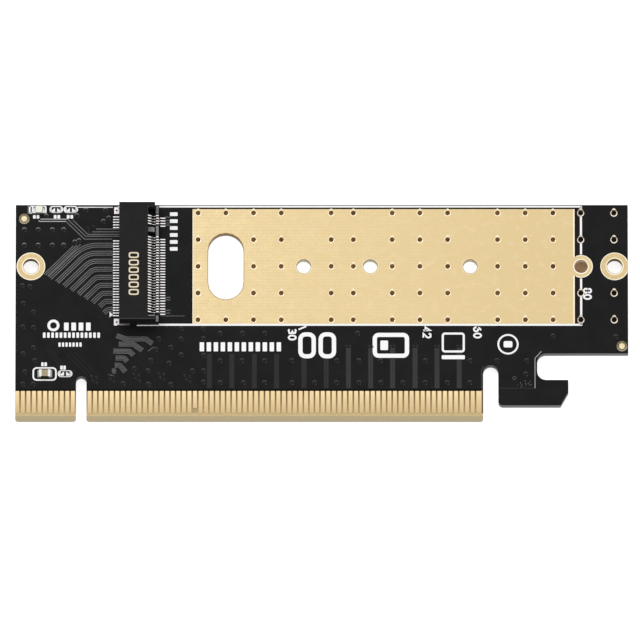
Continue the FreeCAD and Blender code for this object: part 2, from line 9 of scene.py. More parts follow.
import bpy
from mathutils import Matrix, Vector


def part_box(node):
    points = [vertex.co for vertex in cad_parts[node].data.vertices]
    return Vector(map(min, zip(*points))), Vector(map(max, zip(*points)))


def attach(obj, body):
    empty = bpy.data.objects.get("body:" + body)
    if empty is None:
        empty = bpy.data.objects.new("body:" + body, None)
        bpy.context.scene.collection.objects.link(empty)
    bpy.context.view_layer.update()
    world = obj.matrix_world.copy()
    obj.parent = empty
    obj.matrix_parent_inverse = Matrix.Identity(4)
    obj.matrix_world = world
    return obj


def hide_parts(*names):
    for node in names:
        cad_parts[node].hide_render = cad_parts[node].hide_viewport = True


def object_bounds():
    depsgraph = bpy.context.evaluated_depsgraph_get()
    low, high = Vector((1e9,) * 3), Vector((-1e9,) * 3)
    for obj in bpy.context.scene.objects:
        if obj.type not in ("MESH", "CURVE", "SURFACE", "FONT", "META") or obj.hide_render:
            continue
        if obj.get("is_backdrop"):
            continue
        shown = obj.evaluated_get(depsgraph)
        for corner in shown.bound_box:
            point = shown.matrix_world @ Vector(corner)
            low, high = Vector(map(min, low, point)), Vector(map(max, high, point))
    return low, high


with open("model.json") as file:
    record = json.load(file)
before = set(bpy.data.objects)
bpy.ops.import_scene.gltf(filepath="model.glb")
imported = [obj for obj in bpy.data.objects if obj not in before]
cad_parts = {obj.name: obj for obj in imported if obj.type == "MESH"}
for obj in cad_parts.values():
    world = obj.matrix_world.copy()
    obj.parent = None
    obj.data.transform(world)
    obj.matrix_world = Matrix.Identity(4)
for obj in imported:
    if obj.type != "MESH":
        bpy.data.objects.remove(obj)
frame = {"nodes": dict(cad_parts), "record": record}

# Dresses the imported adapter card: finishes for its solids, and the copper relief, print, solder, via
# eyelets and marks that lie on them. Shapes are drawn in board millimetres: X from the board's left
# edge, Y from the edge contacts' end and Z from its rear face. What lies on the face starts a little
# below it, at SEAT or SHALLOW, so that no gap shows.

Point = tuple[float, float]
Point3 = tuple[float, float, float]
Path = tuple[Point, ...]
Colour = tuple[float, float, float]

CAD_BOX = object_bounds()
MM = 0.001

logging.basicConfig(level=logging.INFO, format="%(message)s")
log = logging.getLogger("adapter_card")


class Slot(Enum):
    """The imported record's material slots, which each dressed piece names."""

    MASK = "solder_mask"
    GOLD = "gold_plating"
    PLASTIC = "socket_plastic"
    TIN = "tinned_metal"


class Ends(Enum):
    """How a lofted shape ends: with caps, joined into a loop, or left open at its start."""

    CAPPED = "capped"
    LOOPED = "looped"
    LAST_CAPPED = "last capped"


def tone(red: float, green: float, blue: float) -> Colour:
    """Return a display colour, its parts from 0 to 255, as the linear one that shaders take."""
    shares = (channel / 255 for channel in (red, green, blue))
    return tuple(s / 12.92 if s <= 0.04045 else ((s + 0.055) / 1.055) ** 2.4 for s in shares)


def grey(level: float) -> Colour:
    """Return a neutral display grey from 0 to 255 as a linear colour."""
    return tone(level, level, level)


@dataclass(frozen=True)
class Block:
    """A node's box in board millimetres."""

    low: Vector
    high: Vector

    @classmethod
    def of(cls, node: str) -> "Block":
        """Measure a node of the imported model.

        Args:
            node: The node's name.

        Returns:
            Its box, from the board's corner.
        """
        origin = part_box("circuit_board")[0]
        low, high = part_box(node)
        return cls((low - origin) / MM, (high - origin) / MM)

    @property
    def centre(self) -> Vector:
        """Middle of the box."""
        return (self.low + self.high) / 2


BOARD = Block.of("circuit_board")
FACE = BOARD.high.z
SEAT = FACE - 0.01
SHALLOW = FACE - 0.005
CAD_TOP = (CAD_BOX[1].z - CAD_BOX[0].z) / MM
BAY_Y = Block.of("socket_housing").centre.y


def bay_holes() -> list[tuple[float, float]]:
    """Return the X and the radius of each round hole that takes a module's far end."""
    mounts = [m for m in frame["record"]["mounts"] if m["name"].startswith("module_hole")]
    return [((m["pos_m"][0] - CAD_BOX[0].x) / MM, m["dims"]["r_mm"]) for m in mounts]


def turned_round(path: Sequence[Point], radius: float, steps: int = 6) -> list[Point]:
    """Round the inner corners of an open path.

    Args:
        path: Corner points.
        radius: Bend radius at each inner corner.
        steps: Straight pieces in each bend.

    Returns:
        The path with its corners replaced by arcs.
    """
    points = [path[0]]
    for before, corner, after in zip(path, path[1:], path[2:]):
        here = Vector(corner)
        back = (Vector(before) - here).normalized()
        on = (Vector(after) - here).normalized()
        half = back.angle(on) / 2
        reach = radius / math.tan(half)
        start, end = here + back * reach, here + on * reach
        for step in range(steps + 1):
            share = step / steps
            pull = 2 * share * (1 - share)
            points.append(tuple(start * (1 - share) ** 2 + here * pull + end * share**2))
    return points + [path[-1]]


def circle(x: float, y: float, radius: float, sides: int = 28) -> list[Point]:
    """Return the corner points of a round outline."""
    turns = [2 * math.pi * side / sides for side in range(sides)]
    return [(x + radius * math.cos(t), y + radius * math.sin(t)) for t in turns]


def arc(x: float, y: float, radius: float, start: float, turn: float, count: int) -> list[Point]:
    """Return points on a circle, from the start angle on, one turn apart, in degrees."""
    turns = [math.radians(start + turn * step) for step in range(count)]
    return [(x + radius * math.cos(t), y + radius * math.sin(t)) for t in turns]


def rounded_box(x0: float, x1: float, y0: float, y1: float, radius: float) -> list[Point]:
    """Return the outline of a box with round corners.

    Args:
        x0: Left side.
        x1: Right side.
        y0: Lower side.
        y1: Upper side.
        radius: Corner radius.

    Returns:
        The outline, counter-clockwise.
    """
    corners = [(x1, y1, 0), (x0, y1, 90), (x0, y0, 180), (x1, y0, 270)]
    outline = []
    for x, y, start in corners:
        cx = x - radius if x == x1 else x + radius
        cy = y - radius if y == y1 else y + radius
        outline += arc(cx, cy, radius, start, 22.5, 5)
    return outline


def side_steps(path: Sequence[Point], looped: bool) -> list[Vector]:
    """Find the mitred sideways step at each point of a path.

    Args:
        path: The points.
        looped: Whether the last point joins the first.

    Returns:
        One vector a point; times half a width it reaches the left side.
    """
    steps = []
    last = len(path) - 1
    for index, point in enumerate(path):
        here = Vector(point)
        before = Vector(path[index - 1]) if index or looped else None
        after = Vector(path[(index + 1) % len(path)]) if index < last or looped else None
        arriving = (here - before).normalized() if before is not None else None
        leaving = (after - here).normalized() if after is not None else arriving
        arriving = arriving or leaving
        along = (arriving + leaving).normalized()
        steps.append(Vector((-along.y, along.x)) / max(along.dot(arriving), 0.5))
    return steps


def beside(path: Sequence[Point], distance: float) -> list[Point]:
    """Return the open path that runs beside another, to its left."""
    return [tuple(Vector(p) + s * distance) for p, s in zip(path, side_steps(path, False))]


class Shape:
    """Faces of one piece, gathered in board millimetres."""

    def __init__(self) -> None:
        """Start with no faces."""
        self.vertices: list[Point3] = []
        self.faces: list[tuple[int, ...]] = []

    def loft(self, sections: Sequence[Sequence[Point3]], ends: Ends = Ends.CAPPED) -> None:
        """Skin a run of sections with equally many points.

        Args:
            sections: Closed sections in order.
            ends: How the run ends.
        """
        start, count = len(self.vertices), len(sections[0])
        for section in sections:
            self.vertices.extend(section)
        runs = len(sections) if ends is Ends.LOOPED else len(sections) - 1
        for run in range(runs):
            here, there = start + run * count, start + (run + 1) % len(sections) * count
            for side in range(count):
                after = (side + 1) % count
                self.faces.append((here + side, here + after, there + after, there + side))
        if ends is Ends.CAPPED:
            self.faces.append(tuple(range(start + count - 1, start - 1, -1)))
        if ends is not Ends.LOOPED:
            top = start + (len(sections) - 1) * count
            self.faces.append(tuple(range(top, top + count)))

    def ribbon(self, path: Sequence[Point], width: float, low: float, high: float,
               looped: bool = False, slope: float = 0.2) -> None:
        """Lay a flat strip with sloping sides along a path.

        Args:
            path: Middle line of the strip.
            width: Width at its foot.
            low: Height of its foot.
            high: Height of its top.
            looped: Whether the last point joins the first.
            slope: Share of the width that the sloping sides take.
        """
        half, top = width / 2, width / 2 * (1 - slope)
        profile = [(-half, low), (-top, high), (top, high), (half, low)]
        sections = []
        for (x, y), step in zip(path, side_steps(path, looped)):
            sections.append([(x + step.x * s, y + step.y * s, z) for s, z in profile])
        self.loft(sections, Ends.LOOPED if looped else Ends.CAPPED)

    def slab(self, outline: Sequence[Point], low: float, high: float, inset: float = 0.0) -> None:
        """Raise a plate from a counter-clockwise outline.

        Args:
            outline: Its corners.
            low: Height of its foot.
            high: Height of its top.
            inset: How far its upper edge draws in.
        """
        steps = side_steps(outline, True)
        upper = [(x + s.x * inset, y + s.y * inset, high) for (x, y), s in zip(outline, steps)]
        self.loft([[(x, y, low) for x, y in outline], upper])

    def bar(self, x0: float, x1: float, y0: float, y1: float, low: float, high: float,
            inset: float = 0.0) -> None:
        """Raise a rectangular plate, whose upper edge may draw in."""
        self.slab([(x0, y0), (x1, y0), (x1, y1), (x0, y1)], low, high, inset)

    def turn(self, x: float, y: float, profile: Sequence[Point], sides: int = 24,
             ends: Ends = Ends.LAST_CAPPED) -> None:
        """Turn a profile of (radius, height) points about the upright axis at X and Y."""
        self.loft([[(*p, z) for p in circle(x, y, r, sides)] for r, z in profile], ends)

    def piece(self, name: str, material: bpy.types.Material, slot: Slot | None,
              stands_for: Sequence[str] = ()) -> bpy.types.Object:
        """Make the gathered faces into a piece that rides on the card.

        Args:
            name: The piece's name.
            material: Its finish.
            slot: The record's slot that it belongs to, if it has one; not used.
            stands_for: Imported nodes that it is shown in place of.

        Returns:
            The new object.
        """
        corner = CAD_BOX[0]
        mesh = bpy.data.meshes.new(name)
        mesh.from_pydata([corner + Vector(v) * MM for v in self.vertices], [], self.faces)
        mesh.polygons.foreach_set("use_smooth", [True] * len(mesh.polygons))
        mesh.set_sharp_from_angle(angle=math.radians(40))
        mesh.validate()
        thing = bpy.data.objects.new(name, mesh)
        bpy.context.scene.collection.objects.link(thing)
        mesh.materials.append(material)
        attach(thing, "root")
        if stands_for:
            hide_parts(*stands_for)
        log.info("%s: %d faces", name, len(self.faces))
        return thing


class Bench:
    """Workbench for one material's nodes, with places in board millimetres."""

    def __init__(self, name: str, roughness: float, specular: float = 0.5,
                 metallic: float = 0.0) -> None:
        """Start a material.

        Args:
            name: Its name.
            roughness: Base roughness.
            specular: Specular level.
            metallic: Share of metal.
        """
        self.material = bpy.data.materials.new(name)
        self.material.use_nodes = True
        self.nodes = self.material.node_tree.nodes
        self.links = self.material.node_tree.links
        self.shader = self.nodes["Principled BSDF"]
        self.shader.inputs["Roughness"].default_value = roughness
        self.shader.inputs["Specular IOR Level"].default_value = specular
        self.shader.inputs["Metallic"].default_value = metallic
        coordinates = self.nodes.new("ShaderNodeTexCoord")
        self.place = self.nodes.new("ShaderNodeMapping")
        self.place.inputs["Scale"].default_value = (1 / MM,) * 3
        self.place.inputs["Location"].default_value = -CAD_BOX[0] / MM
        self.links.new(coordinates.outputs["Object"], self.place.inputs["Vector"])
        self.at = self.split(self.place.outputs["Vector"])
        geometry = self.nodes.new("ShaderNodeNewGeometry")
        self.upright = self.maths("ABSOLUTE", self.split(geometry.outputs["True Normal"])[2])

    def feed(self, value: object, socket: bpy.types.NodeSocket) -> None:
        """Link a socket, or set a plain value on it.

        Args:
            value: Socket or plain value.
            socket: Where it goes.
        """
        if isinstance(value, bpy.types.NodeSocket):
            self.links.new(value, socket)
        else:
            socket.default_value = value

    def split(self, vector: bpy.types.NodeSocket) -> list[bpy.types.NodeSocket]:
        """Return a vector's three parts.

        Args:
            vector: The vector's socket.

        Returns:
            Sockets of its X, Y and Z.
        """
        node = self.nodes.new("ShaderNodeSeparateXYZ")
        self.links.new(vector, node.inputs[0])
        return list(node.outputs)

    def maths(self, operation: str, *values: object) -> bpy.types.NodeSocket:
        """Combine numbers.

        Args:
            operation: Name of the sum.
            values: Sockets or numbers.

        Returns:
            The result's socket.
        """
        node = self.nodes.new("ShaderNodeMath")
        node.operation = operation
        for value, socket in zip(values, node.inputs):
            self.feed(value, socket)
        return node.outputs[0]

    def both(self, first: object, second: object) -> bpy.types.NodeSocket:
        """Return the product of two shares."""
        return self.maths("MULTIPLY", first, second)

    def within(self, value: object, low: float, high: float, soft: float = 0.01) -> bpy.types.NodeSocket:
        """Return 1 where a value lies between two limits, with soft sides.

        Args:
            value: The socket to test.
            low: Lower limit.
            high: Upper limit.
            soft: Width of the soft sides.

        Returns:
            The test's socket.
        """
        rise = self.spread(value, low - soft, low + soft, 0, 1)
        fall = self.spread(value, high - soft, high + soft, 1, 0)
        return self.both(rise, fall)

    def spread(self, value: object, low: float, high: float, at_low: float,
               at_high: float) -> bpy.types.NodeSocket:
        """Stretch a range of values onto another, held at its ends.

        Args:
            value: The socket to read.
            low: Start of the range read.
            high: End of the range read.
            at_low: Result at its start.
            at_high: Result at its end.

        Returns:
            The result's socket.
        """
        node = self.nodes.new("ShaderNodeMapRange")
        for number, socket in zip((value, low, high, at_low, at_high), node.inputs):
            self.feed(number, socket)
        return node.outputs["Result"]

    def blend(self, share: object, first: object, second: object) -> bpy.types.NodeSocket:
        """Blend two colours.

        Args:
            share: How much of the second shows.
            first: Colour or socket.
            second: Colour or socket.

        Returns:
            The blend's socket.
        """
        node = self.nodes.new("ShaderNodeMix")
        node.data_type = "RGBA"
        for value, socket in zip((share, first, second), (node.inputs[0], *node.inputs[6:8])):
            self.feed((*value, 1) if isinstance(value, tuple) else value, socket)
        return node.outputs[2]

    def noise(self, per_mm: float, stretch: Point3 = (1, 1, 1), detail: float = 2.0) -> bpy.types.NodeSocket:
        """Make cloudy variation.

        Args:
            per_mm: Features to the millimetre.
            stretch: How much finer the pattern is along each direction.
            detail: Levels of finer noise.

        Returns:
            A socket from 0 to 1, mostly near the middle.
        """
        scaled = self.nodes.new("ShaderNodeMapping")
        scaled.inputs["Scale"].default_value = stretch
        self.links.new(self.place.outputs["Vector"], scaled.inputs["Vector"])
        node = self.nodes.new("ShaderNodeTexNoise")
        node.inputs["Scale"].default_value = per_mm
        node.inputs["Detail"].default_value = detail
        self.links.new(scaled.outputs["Vector"], node.inputs["Vector"])
        return node.outputs[0]

    def bump(self, height: bpy.types.NodeSocket, depth_mm: float, strength: float = 1.0) -> None:
        """Shape the surface with a height pattern.

        Args:
            height: The pattern.
            depth_mm: Its depth in millimetres.
            strength: How strongly it shows.
        """
        node = self.nodes.new("ShaderNodeBump")
        node.inputs["Strength"].default_value = strength
        node.inputs["Distance"].default_value = depth_mm * MM
        self.links.new(height, node.inputs["Height"])
        self.links.new(node.outputs[0], self.shader.inputs["Normal"])

    def colour(self, value: object) -> None:
        """Give the shader its colour."""
        self.feed((*value, 1) if isinstance(value, tuple) else value, self.shader.inputs["Base Color"])

    def roughen(self, pattern: bpy.types.NodeSocket, low: float, high: float) -> None:
        """Let a pattern move the roughness between two limits."""
        self.feed(self.spread(pattern, 0.3, 0.7, low, high), self.shader.inputs["Roughness"])


@dataclass(frozen=True)
class BoardFinish:
    """Black mask over laminate, with the laminate bare on the tongue, the walls and in the wells, and painted
    light on the lower walls of the bay's right holes.
    """

    name: str = "black_mask_on_laminate"
    mask: Colour = grey(12)
    mask_cloud: Colour = grey(19)
    bare_strip: Colour = tone(24, 16, 14)
    mask_edge: Colour = tone(10, 6, 2)
    gap_top: Colour = tone(104, 80, 40)
    gap_foot: Colour = tone(196, 170, 124)
    edge_gap: Colour = tone(96, 74, 46)
    strip: Colour = tone(214, 190, 142)
    bevel: Colour = tone(198, 182, 146)
    wall: Colour = grey(134)
    bay_wall: Colour = tone(168, 146, 112)
    # Painted light: near-white on the lower walls of the bay's holes right of X 46.
    hole_wall: Colour = tone(250, 242, 222)
    fibre: Colour = tone(74, 58, 40)
    well_floor: Colour = tone(176, 146, 116)
    bare_strip_x: Point = (100.5, 101.7)
    bare_strip_y: Point = (18, 39.5)
    contact_y: Point = (1.35, 5.6)
    mask_edge_y: Point = (5.5, 5.88)
    low_end_y: Point = (5.5, 6.5)
    tongue_top_y: float = 7
    tongue_end_x: float = 84.4
    edge_gap_x: Point = (83.99, 85)
    bay_x: Point = (1.0, 109.5)
    bay_y: Point = (15.5, 39.8)
    hole_wall_x: Point = (45.0, 46.0)
    hole_shade_z: Point = (1.2, 1.4)
    well_z: Point = (0.1, 1.5)
    rear_skin_z: Point = (0.02, 0.03)

    def on_tongue(self, bench: Bench) -> bpy.types.NodeSocket:
        """Return a socket that is 1 as far as the tongue's right end."""
        return bench.spread(bench.at[0], self.tongue_end_x - 0.02, self.tongue_end_x + 0.02, 1, 0)

    def masked(self, bench: Bench) -> bpy.types.NodeSocket:
        """Colour the mask, darker beside the pad and at the tops of the edge contacts.

        Args:
            bench: The material under way.

        Returns:
            The colour's socket.
        """
        x, y = bench.at[:2]
        cloud = bench.spread(bench.noise(0.35, detail=3), 0.35, 0.65, 0, 1)
        colour = bench.blend(cloud, self.mask, self.mask_cloud)
        beside_pad = bench.both(bench.within(x, *self.bare_strip_x), bench.within(y, *self.bare_strip_y))
        colour = bench.blend(beside_pad, colour, self.bare_strip)
        edge = bench.both(bench.within(y, *self.mask_edge_y, 0.05), self.on_tongue(bench))
        return bench.blend(edge, colour, self.mask_edge)

    def walls(self, bench: Bench) -> bpy.types.NodeSocket:
        """Colour the upright walls: outer edges, tongue, and the holes of the bay; the lower walls of the
        bay's holes right of X 46 get painted light, near white.

        Args:
            bench: The material under way.

        Returns:
            The colour's socket.
        """
        x, y, z = bench.at
        in_bay = bench.both(bench.within(y, *self.bay_y, 0.3), bench.within(x, *self.bay_x))
        # Painted light: the lower walls of the bay's holes right of X 46 turn near-white.
        lit = bench.both(bench.spread(z, *self.hole_shade_z, 1, 0), bench.spread(x, *self.hole_wall_x, 0, 1))
        colour = bench.blend(in_bay, self.wall, self.bay_wall)
        colour = bench.blend(bench.both(in_bay, lit), colour, self.hole_wall)
        low_end = bench.both(bench.spread(y, *self.low_end_y, 1, 0), self.on_tongue(bench))
        return bench.blend(low_end, colour, self.bevel)

    def laminate(self, bench: Bench, level: bpy.types.NodeSocket) -> bpy.types.NodeSocket:
        """Colour the bare laminate, with its glass fibres.

        Args:
            bench: The material under way.
            level: Socket that is 1 on level faces.

        Returns:
            The colour's socket.
        """
        x, y, z = bench.at
        gap = bench.blend(bench.spread(y, *self.contact_y, 1, 0), self.gap_top, self.gap_foot)
        gap = bench.blend(bench.within(x, *self.edge_gap_x), gap, self.edge_gap)
        colour = bench.blend(bench.within(y, self.contact_y[0], self.tongue_top_y), self.strip, gap)
        colour = bench.blend(bench.within(bench.upright, 0.3, 0.95), colour, self.bevel)
        colour = bench.blend(bench.spread(bench.upright, 0.2, 0.3, 1, 0), colour, self.walls(bench))
        colour = bench.blend(bench.both(bench.within(z, *self.well_z), level), colour, self.well_floor)
        fibres = bench.spread(bench.noise(5, (1, 1, 6), detail=3), 0.35, 0.65, 0, 0.2)
        return bench.blend(fibres, colour, self.fibre)

    def material(self) -> bpy.types.Material:
        """Build the board's material.

        Returns:
            The new material.
        """
        bench = Bench(self.name, 0.42, specular=0.13)
        z = bench.at[2]
        level = bench.spread(bench.upright, 0.95, 0.97, 0, 1)
        outer = bench.maths("ADD", bench.spread(z, FACE - 0.03, FACE - 0.02, 0, 1),
                            bench.spread(z, *self.rear_skin_z, 1, 0))
        colour = bench.blend(bench.both(outer, level), self.laminate(bench, level), self.masked(bench))
        bench.colour(colour)
        bench.roughen(bench.noise(14, detail=1), 0.38, 0.5)
        bench.bump(bench.noise(6, detail=2), 0.004, 0.5)
        return bench.material


@dataclass(frozen=True)
class MetalFinish:
    """A bare or plated metal with soft clouds, fine lines and worn roughness.

    It may fade to another colour along X or Y, blush in patches, show a weave, or be a row of strips with
    a painted dark reflection on their flanks and a dark slit. A wall colour on its upright faces is painted
    shade.
    """

    name: str
    face: Colour
    cloud: Colour
    # Painted shade: a darker colour for upright faces, when given.
    wall: Colour | None = None
    metallic: float = 0.9
    roughness: Point = (0.36, 0.46)
    cloud_per_mm: float = 0.25
    lines: Point3 = (1, 1, 1)
    lines_per_mm: float = 9.0
    line_depth: float = 0.002
    line_share: float = 0.25
    fade_y: Point | None = None
    fade: Colour | None = None
    fade_x: Point | None = None
    weave_mm: float = 0.0
    blush: Colour | None = None
    strip_y: float | None = None
    strip_pitch: float = 0.5
    strip_core: float = 0.085
    # Painted dark reflection on the flanks of a row of strips; the slit takes the same colour.
    flank: Colour = grey(30)
    slit_x: Point | None = None

    def material(self) -> bpy.types.Material:
        """Build the metal.

        Returns:
            The new material.
        """
        bench = Bench(self.name, self.roughness[0], metallic=self.metallic)
        cloud = bench.noise(self.cloud_per_mm, detail=3)
        lines = bench.noise(self.lines_per_mm, self.lines, detail=1)
        if self.lines[0] != self.lines[1]:
            across = (self.lines[1], self.lines[0], self.lines[2])
            lines = bench.maths("MAXIMUM", lines, bench.noise(self.lines_per_mm, across, detail=1))
        colour = bench.blend(bench.spread(cloud, 0.35, 0.65, 0, 1), self.face, self.cloud)
        if self.fade_y:
            colour = bench.blend(bench.spread(bench.at[1], *self.fade_y, 1, 0), colour, self.fade)
        if self.fade_x:
            colour = bench.blend(bench.spread(bench.at[0], *self.fade_x, 0, 1), colour, self.fade)
        if self.blush:
            patches = bench.noise(self.cloud_per_mm * 2.2, (1, 1.4, 1), detail=2)
            colour = bench.blend(bench.spread(patches, 0.52, 0.72, 0, 0.7), colour, self.blush)
        shade = tuple(channel * 0.74 for channel in self.face)
        colour = bench.blend(bench.spread(lines, 0.42, 0.72, self.line_share, 0), colour, shade)
        if self.weave_mm:
            colour = bench.blend(bench.both(self.weave(bench), self.line_share), colour, shade)
        # Painted shade on upright faces.
        if self.wall:
            colour = bench.blend(bench.spread(bench.upright, 0.3, 0.6, 1, 0), colour, self.wall)
        # Painted reflection: the flanks of each strip turn dark.
        if self.strip_y is not None:
            colour = bench.blend(self.beside_core(bench), colour, self.flank)
        if self.slit_x:
            slit = bench.both(bench.within(bench.at[0], *self.slit_x, 0.03), 0.75)
            colour = bench.blend(slit, colour, self.flank)
        bench.colour(colour)
        bench.roughen(lines, *self.roughness)
        bench.bump(lines, self.line_depth, 0.4)
        return bench.material

    def beside_core(self, bench: Bench) -> bpy.types.NodeSocket:
        """Find the rolled flanks of a row of strips, which get a painted dark reflection.

        Args:
            bench: The material under way.

        Returns:
            A socket from 0 on the middle of each strip to 1 on its flanks.
        """
        start = self.strip_y - self.strip_pitch * 100.5
        turns = bench.maths("DIVIDE", bench.maths("SUBTRACT", bench.at[1], start), self.strip_pitch)
        off = bench.maths("ABSOLUTE", bench.maths("SUBTRACT", bench.maths("FRACT", turns), 0.5))
        core = self.strip_core / self.strip_pitch
        return bench.spread(off, core, core * 1.35, 0, 1)

    def weave(self, bench: Bench) -> bpy.types.NodeSocket:
        """Make the glass weave that shows through a large plated face.

        Args:
            bench: The material under way.

        Returns:
            A socket from 0 on the threads to 1 between them.
        """
        threads = []
        for place, share in zip(bench.at[:2], (0.35, 0.65)):
            wave = bench.maths("SINE", bench.both(place, 2 * math.pi / self.weave_mm))
            threads.append(bench.both(bench.spread(wave, -1, 1, 0, 1), share))
        uneven = bench.spread(bench.noise(0.6, (1, 2, 1), detail=2), 0.35, 0.65, 0.3, 1.2)
        return bench.both(bench.maths("ADD", *threads), uneven)


@dataclass(frozen=True)
class PlainFinish:
    """A painted, moulded or fired surface with fine grain, a slight change of tone and, when given, painted
    shade on its upright faces.
    """

    name: str
    face: Colour
    cloud: Colour
    roughness: Point = (0.45, 0.55)
    specular: float = 0.5
    grain_per_mm: float = 8.0
    grain_depth: float = 0.004
    stretch: Point3 = (1, 1, 1)
    # Painted shade: a darker colour for upright faces, when given.
    wall: Colour | None = None

    def material(self) -> bpy.types.Material:
        """Build the surface.

        Returns:
            The new material.
        """
        bench = Bench(self.name, self.roughness[0], self.specular)
        grain = bench.noise(self.grain_per_mm, self.stretch, detail=3)
        cloud = bench.noise(self.grain_per_mm / 12, detail=2)
        mixed = bench.maths("MULTIPLY_ADD", grain, 0.6, bench.both(cloud, 0.4))
        colour = bench.blend(bench.spread(mixed, 0.38, 0.62, 0, 1), self.face, self.cloud)
        # Painted shade on upright faces.
        if self.wall:
            colour = bench.blend(bench.spread(bench.upright, 0.3, 0.6, 1, 0), colour, self.wall)
        bench.colour(colour)
        bench.roughen(grain, *self.roughness)
        bench.bump(grain, self.grain_depth, 0.5)
        return bench.material


@dataclass(frozen=True)
class HousingFinish:
    """Black moulded plastic with painted highlights on three edges of its top and a row of plain cream boxes
    on its top.
    """

    name: str = "black_moulded_plastic"
    face: Colour = grey(13)
    cloud: Colour = grey(18)
    print_tone: Colour = tone(238, 222, 192)
    # Painted highlights along the top's edges: the cheek's inner edge, the jaw's edge and the lower edge.
    edge: Colour = grey(150)
    dim_edge: Colour = grey(96)
    lower_edge: Colour = grey(58)
    box_x: Point = (20.42, 22.24)
    box_y: Point = (22.16, 30.44)
    box_count: int = 6
    box_gap: float = 0.26
    stroke: float = 0.25
    cheek_x: Point = (23.98, 25.4)
    cheek_y: float = 18.48
    jaw_x: float = 23.93
    jaw_y: Point = (37.4, 38.96)
    lower_edge_y: float = 17.96
    edge_half: float = 0.07

    def material(self) -> bpy.types.Material:
        """Build the plastic.

        Returns:
            The new material.
        """
        bench = Bench(self.name, 0.55, specular=0.18)
        x, y, z = bench.at
        grain = bench.noise(12, detail=3)
        cloud = bench.noise(0.8, detail=2)
        colour = bench.blend(bench.spread(cloud, 0.35, 0.65, 0, 1), self.face, self.cloud)
        on_top = bench.spread(z, CAD_TOP - 0.06, CAD_TOP - 0.05, 0, 1)
        # Painted highlights on three edges of the top, then the printed boxes.
        marks = [
            (bench.spread(y, self.lower_edge_y - 0.02, self.lower_edge_y + 0.02, 1, 0), self.lower_edge),
            (self.line(bench, y, self.cheek_y, x, self.cheek_x), self.edge),
            (self.line(bench, x, self.jaw_x, y, self.jaw_y), self.dim_edge),
            (self.boxes(bench), self.print_tone),
        ]
        for place, tint in marks:
            colour = bench.blend(bench.both(place, on_top), colour, tint)
        bench.colour(colour)
        bench.roughen(grain, 0.5, 0.62)
        bench.bump(grain, 0.006, 0.5)
        return bench.material

    def line(self, bench: Bench, across: object, middle: float, along: object,
             ends: Point) -> bpy.types.NodeSocket:
        """Return a socket that is 1 on an edge line with a painted highlight, which runs between its ends at
        a middle.
        """
        on_edge = bench.within(across, middle - self.edge_half, middle + self.edge_half)
        return bench.both(on_edge, bench.within(along, *ends))

    def boxes(self, bench: Bench) -> bpy.types.NodeSocket:
        """Mark the outlines of the row of plain rounded boxes.

        Args:
            bench: The material under way.

        Returns:
            A socket that is 1 on the outlines.
        """
        x, y = bench.at[:2]
        pitch = (self.box_y[1] - self.box_y[0]) / self.box_count
        turns = bench.maths("DIVIDE", bench.maths("SUBTRACT", y, self.box_y[0]), pitch)
        across = bench.both(bench.maths("SUBTRACT", bench.maths("FRACT", turns), 0.5), pitch)
        along = bench.maths("SUBTRACT", x, sum(self.box_x) / 2)
        half = ((self.box_x[1] - self.box_x[0]) / 2, (pitch - self.box_gap) / 2)
        filled = []
        for inset in (0, self.stroke):
            parts = []
            for place, size in zip((along, across), half):
                share = bench.maths("DIVIDE", bench.maths("ABSOLUTE", place), size - inset)
                parts.append(bench.maths("POWER", share, 4))
            filled.append(bench.spread(bench.maths("ADD", *parts), 0.9, 1.1, 1, 0))
        return bench.both(bench.maths("SUBTRACT", *filled), bench.within(y, *self.box_y))


def mask_tone(name: str, face: float, cloud: float, roughness: float, specular: float = 0.2) -> PlainFinish:
    """Return the finish of the black mask over copper, vias and tails: partly the tone of what lies under it,
    partly painted light and shade.
    """
    return PlainFinish(name, grey(face), grey(cloud), (roughness, roughness + 0.1), specular, 5)


def socket_pins(name: str, first_offset: float, slit_x: Point | None = None) -> MetalFinish:
    """Return the finish of one row of socket contacts, bright, with a painted dark reflection on their rolled
    flanks.
    """
    return MetalFinish(name, tone(255, 254, 253), tone(252, 246, 244), metallic=1.0, roughness=(0.2, 0.3),
                       cloud_per_mm=3, line_share=0.08, strip_y=BAY_Y + first_offset, slit_x=slit_x)


